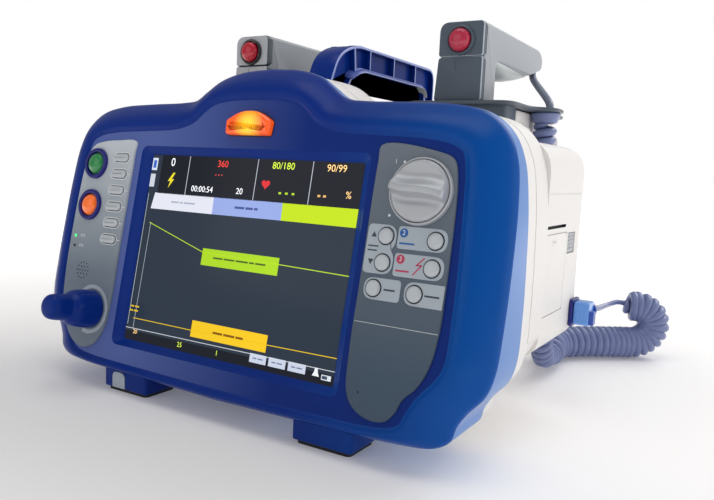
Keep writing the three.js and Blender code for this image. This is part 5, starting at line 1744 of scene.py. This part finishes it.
    def base(self, paint: Paint) -> None:
        """Base plate with a turned lip, the grey block under its front and the electrode with its carrier."""
        form = Form()
        x, low = self.x, self.plate_top - self.plate_thick
        ear = [(133, 58, 9), (148, 67, 8), (148, 89, 8), (133, 103, 9)] if self.side is Side.RIGHT else []
        outline = rounded_corners([(x - 40.7, 12, 14), (x + 40.7, 12, 14), *ear, (x + 40.7, 143, 7),
                                   (x - 40.7, 143, 14)], 10)
        form.raised(outline, [(1.2, low), (0.2, low + 0.5), (0, low + 1.2), (0, low + 1.9), (0.4, low + 2.6),
                              (1.1, self.plate_top - 0.1), (2.2, self.plate_top), (4.5, self.plate_top - 0.3)])
        block = rounded_rect(x - 35, x + 35, 18, 41, 3, 5)
        form.raised(block, [(0.8, 197.2), (0, 198.2), (0, low + 0.3)], UPRIGHT, 1)
        form.raised(rounded_rect(x - 30, x + 30, 46.5, 132, 8, 6), [(0.5, 199.7), (0, 200.4), (0, low + 0.3)],
                    UPRIGHT, 1)
        finished(form.build(f"paddle_plate_{self.side.value}", [paint.plate_grey, paint.slate_dark]), self.body,
                 [f"paddle_base_{self.side.value}"])
        disc = rounded_rect(x - 29, x + 29, 47.5, 131, 8, 8)
        plate = Form().raised(disc, pillow(197.4, 199.4, 0.7, 4))
        finished(plate.build(f"electrode_plate_{self.side.value}", [paint.steel]), self.body,
                 [f"electrode_{self.side.value}"])

    def build(self, paint: Paint) -> None:
        """Makes the whole paddle."""
        self.grip(paint)
        self.cover(paint)
        self.button(paint)
        self.base(paint)


# ------------------------------------------------------------------ cord


@dataclass
class PaddleCord:
    """The right paddle's cord: a short lead, a strain relief, then curly cord that ends in a plug at the wall."""

    wire: float = 7.2
    lead_wire: float = 5.6
    hang_radius: float = 5.9
    hang_pitch: float = 6.6
    floor_radius: float = 10.3
    floor_pitch: float = 10.0
    bend_pitch: float = 5.0
    relief: tuple[float, float, float] = (136.5, 78.0, 199.6)
    relief_top: float = 206.9
    plug: tuple[float, float, float] = (176.9, 48.0, 69.0)

    def short_lead(self, paint: Paint) -> None:
        """Smooth lead from under the grip to the strain relief."""
        points = [(104, 141, 247.5), (104.3, 140.4, 244), (106, 137.5, 240.5), (136.3, 85, 215.5), (138.6, 80.3, 212),
                  (139, 79, 209)]
        path = even(catmull(points, 8), 2.0)
        form = Form().tube(path, self.lead_wire / 2, 14)
        piece = form.build("grip_lead", [paint.lead])
        finished(piece, "paddle_right", ["grip_lead_right"])

    def strain_relief(self, paint: Paint) -> None:
        """Ribbed sleeve that hangs from the plate's edge."""
        x, y, z = self.relief
        rows = catmull([(3.2, z + 1.0), (6.6, z - 0.1), (8.6, z + 0.5), (9.3, z + 2.0), (10.2, z + 4.4),
                        (10.9, self.relief_top - 0.9), (10.3, self.relief_top), (0.01, self.relief_top)], 4)
        piece = Form().turned(rows, shift(x, y, 0), 0, 44).build("cord_relief_sleeve", [paint.cord])
        finished(piece, "paddle_right", ["cord_relief"])

    def route(self) -> tuple[Array, Array, Array]:
        """Axis of the curly cord, with its coil radius and pitch at each point.

        Returns:
            Axis points, radius and pitch, sampled every millimetre.
        """
        hang = [(136.5, 78, 200.4), (136.5, 78, 190), (136.5, 78, 170), (138, 79, 120), (140, 84, 66), (141, 96, 34),
                (139, 112, 17.5), (138, 124, 14.6)]
        floor = [(138, 131, 14.5), (136, 144, 14.6), (131, 160, 14.6), (133, 178, 14.6), (145, 195, 14.6),
                 (163, 211, 14.6), (179, 224, 14.6), (190, 232, 15.2), (198.5, 238, 21.5), (201.5, 240.5, 31),
                 (198.5, 240, 40.5), (191, 237.5, 46), (182, 234, 47.2)]
        lead = [(176, 231.6, 49.0), (171, 226, 50.0), (168.4, 218, 49.6), (168, 205, 50.4), (170, 180, 53.2),
                (175, 140, 58.6), (180, 100, 64.2), (183, 77, 68.4), (184, 66, 70), (184, 56.2, 70)]
        axis = even(catmull(hang + floor + lead, 10), 1.0)
        joint = [int(np.argmin(np.linalg.norm(axis - np.array(p), axis=1))) for p in (hang[0], floor[0], floor[-1])]
        at = np.arange(len(axis), dtype=float)
        ramp = lambda start, width: np.clip((at - start) / width, 0, 1)
        smooth = lambda t: t * t * (3 - 2 * t)
        grow, swell = smooth(ramp(joint[0], 4)), smooth(ramp(joint[1] + 2, 20))
        fade = 1 - smooth(ramp(joint[2] - 1, 7))
        radius = (self.hang_radius + (self.floor_radius - self.hang_radius) * swell) * grow * fade
        share = smooth(ramp(joint[1] + 10, joint[2] - joint[1] - 70))
        pitch = self.hang_pitch + (self.floor_pitch - self.hang_pitch) * swell
        pitch = pitch + (self.bend_pitch - self.floor_pitch) * share
        return axis, radius, pitch

    def centreline(self) -> Array:
        """The wire's own line: it turns once about the axis for each pitch, at the coil radius."""
        axis, radius, pitch = self.route()
        tangent = np.gradient(axis, axis=0)
        tangent /= np.linalg.norm(tangent, axis=1)[:, None]
        side = least_turning(tangent)
        turns = np.cumsum(np.where(radius > 0.05, 1.0 / pitch, 0.0))
        fine = 10
        at = np.arange(len(axis))
        dense = np.linspace(0, len(axis) - 1, (len(axis) - 1) * fine // 3 + 1)
        pick = lambda values: np.stack([np.interp(dense, at, values[:, k]) for k in range(3)], axis=1)
        middle, across, along = pick(axis), pick(side), pick(tangent)
        along /= np.linalg.norm(along, axis=1)[:, None]
        across -= along * np.sum(across * along, axis=1)[:, None]
        across /= np.linalg.norm(across, axis=1)[:, None]
        other = np.cross(along, across)
        angle = 2 * math.pi * np.interp(dense, at, turns)[:, None]
        reach = np.interp(dense, at, radius)[:, None]
        return middle + reach * (np.cos(angle) * across + np.sin(angle) * other)

    def curly(self, paint: Paint) -> None:
        """Curly cord from the strain relief to the plug."""
        path = self.centreline()
        path[:, 2] = np.maximum(path[:, 2], self.wire / 2 + 0.1)
        _, radius, _ = self.route()
        reach = np.interp(np.linspace(0, 1, len(path)), np.linspace(0, 1, len(radius)), radius)
        thick = self.wire / 2 * (0.64 + 0.4 * np.clip(reach / self.floor_radius, 0, 1))
        piece = Form().tube(path, thick, 9).build("curly_cord", [paint.cord], 80)
        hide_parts("cord_coil_hanging", "cord_coil", "cord_lead")
        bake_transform(piece)

    def connector(self, paint: Paint) -> Object:
        """Clear blue plug with a boot, and the socket that it sits in."""
        x, y, z = self.plug
        form = Form().raised(rounded_rect(y - 8, y + 8, z - 8, z + 8, 3, 6), pillow(x, x + 10.5, 1.0), ALONG_X)
        form.raised(rounded_rect(y - 7.2, y - 0.5, z - 7.2, z + 2.5, 1.5, 5), pillow(x + 9, x + 13.6, 0.8), ALONG_X, 1)
        rear = place((-1, 0, 0), (0, 0, 1), (0, 1, 0), (x + 7.1, y, z + 1.0))
        boot = catmull([(5.2, 6.5), (5.1, 8.6), (4.2, 9.8), (3.3, 12.5)], 5)
        form.turned([(r, h) for r, h in boot], rear, 1, 36, True, True)
        for i in range(3):
            level = x + 2.6 + i * 2.4
            form.raised(rounded_rect(y - 8.15, y + 8.15, z - 5, z + 5, 0.6, 3),
                        [(0.2, level), (0, level + 0.2), (0, level + 0.9), (0.2, level + 1.1)], ALONG_X, 0)
        plug = form.build("cord_plug_body", [paint.clear_blue, paint.plug_blue])
        finished(plug, ROOT, ["cord_plug"])
        seat = Form().raised(rounded_rect(y - 9.5, y + 9.5, z - 9.5, z + 9.5, 3, 6), pillow(174.2, 176.7, 0.6), ALONG_X)
        finished(seat.build("paddle_socket_flange", [paint.navy]), ROOT, ["paddle_socket"])
        return plug

    def build(self, paint: Paint) -> None:
        """Makes the cord, its plug and its sleeve."""
        plug = self.connector(paint)
        self.short_lead(paint)
        self.curly(paint)
        self.strain_relief(paint)


def dress_nodes(paint: Paint) -> None:
    """Gives every CAD node that still shows a material by its slot."""
    slots = {row["node"]: row["material_slot"] for row in frame["record"]["subparts"]}
    for name, node in frame["nodes"].items():
        if node.hide_render:
            continue
        node.data.materials.clear()
        node.data.materials.append(paint.of_slot(slots[name]))
        log.info("%s keeps its mesh", name)


def main() -> None:
    """Builds the unit and its studio."""
    logging.basicConfig(level=logging.INFO, format="%(name)s: %(message)s")
    studio = Studio()
    studio.camera()
    paint = Paint()
    PaddleCord().build(paint)
    bezel = FrontBezel()
    bezel.shell(paint)
    bezel.feet(paint)
    bezel.lamp(paint)
    Screen().build(paint)
    ControlPanels().build(paint)
    housing = Housing(bezel)
    housing.main_shell(paint)
    housing.rear_shell(paint)
    housing.deck(paint)
    housing.details(paint)
    CarryHandle().build(paint)
    for side in Side:
        Paddle(side).build(paint)
    dress_nodes(paint)
    studio.floor()
    studio.lights()
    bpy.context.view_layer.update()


if __name__ == "__main__":
    main()
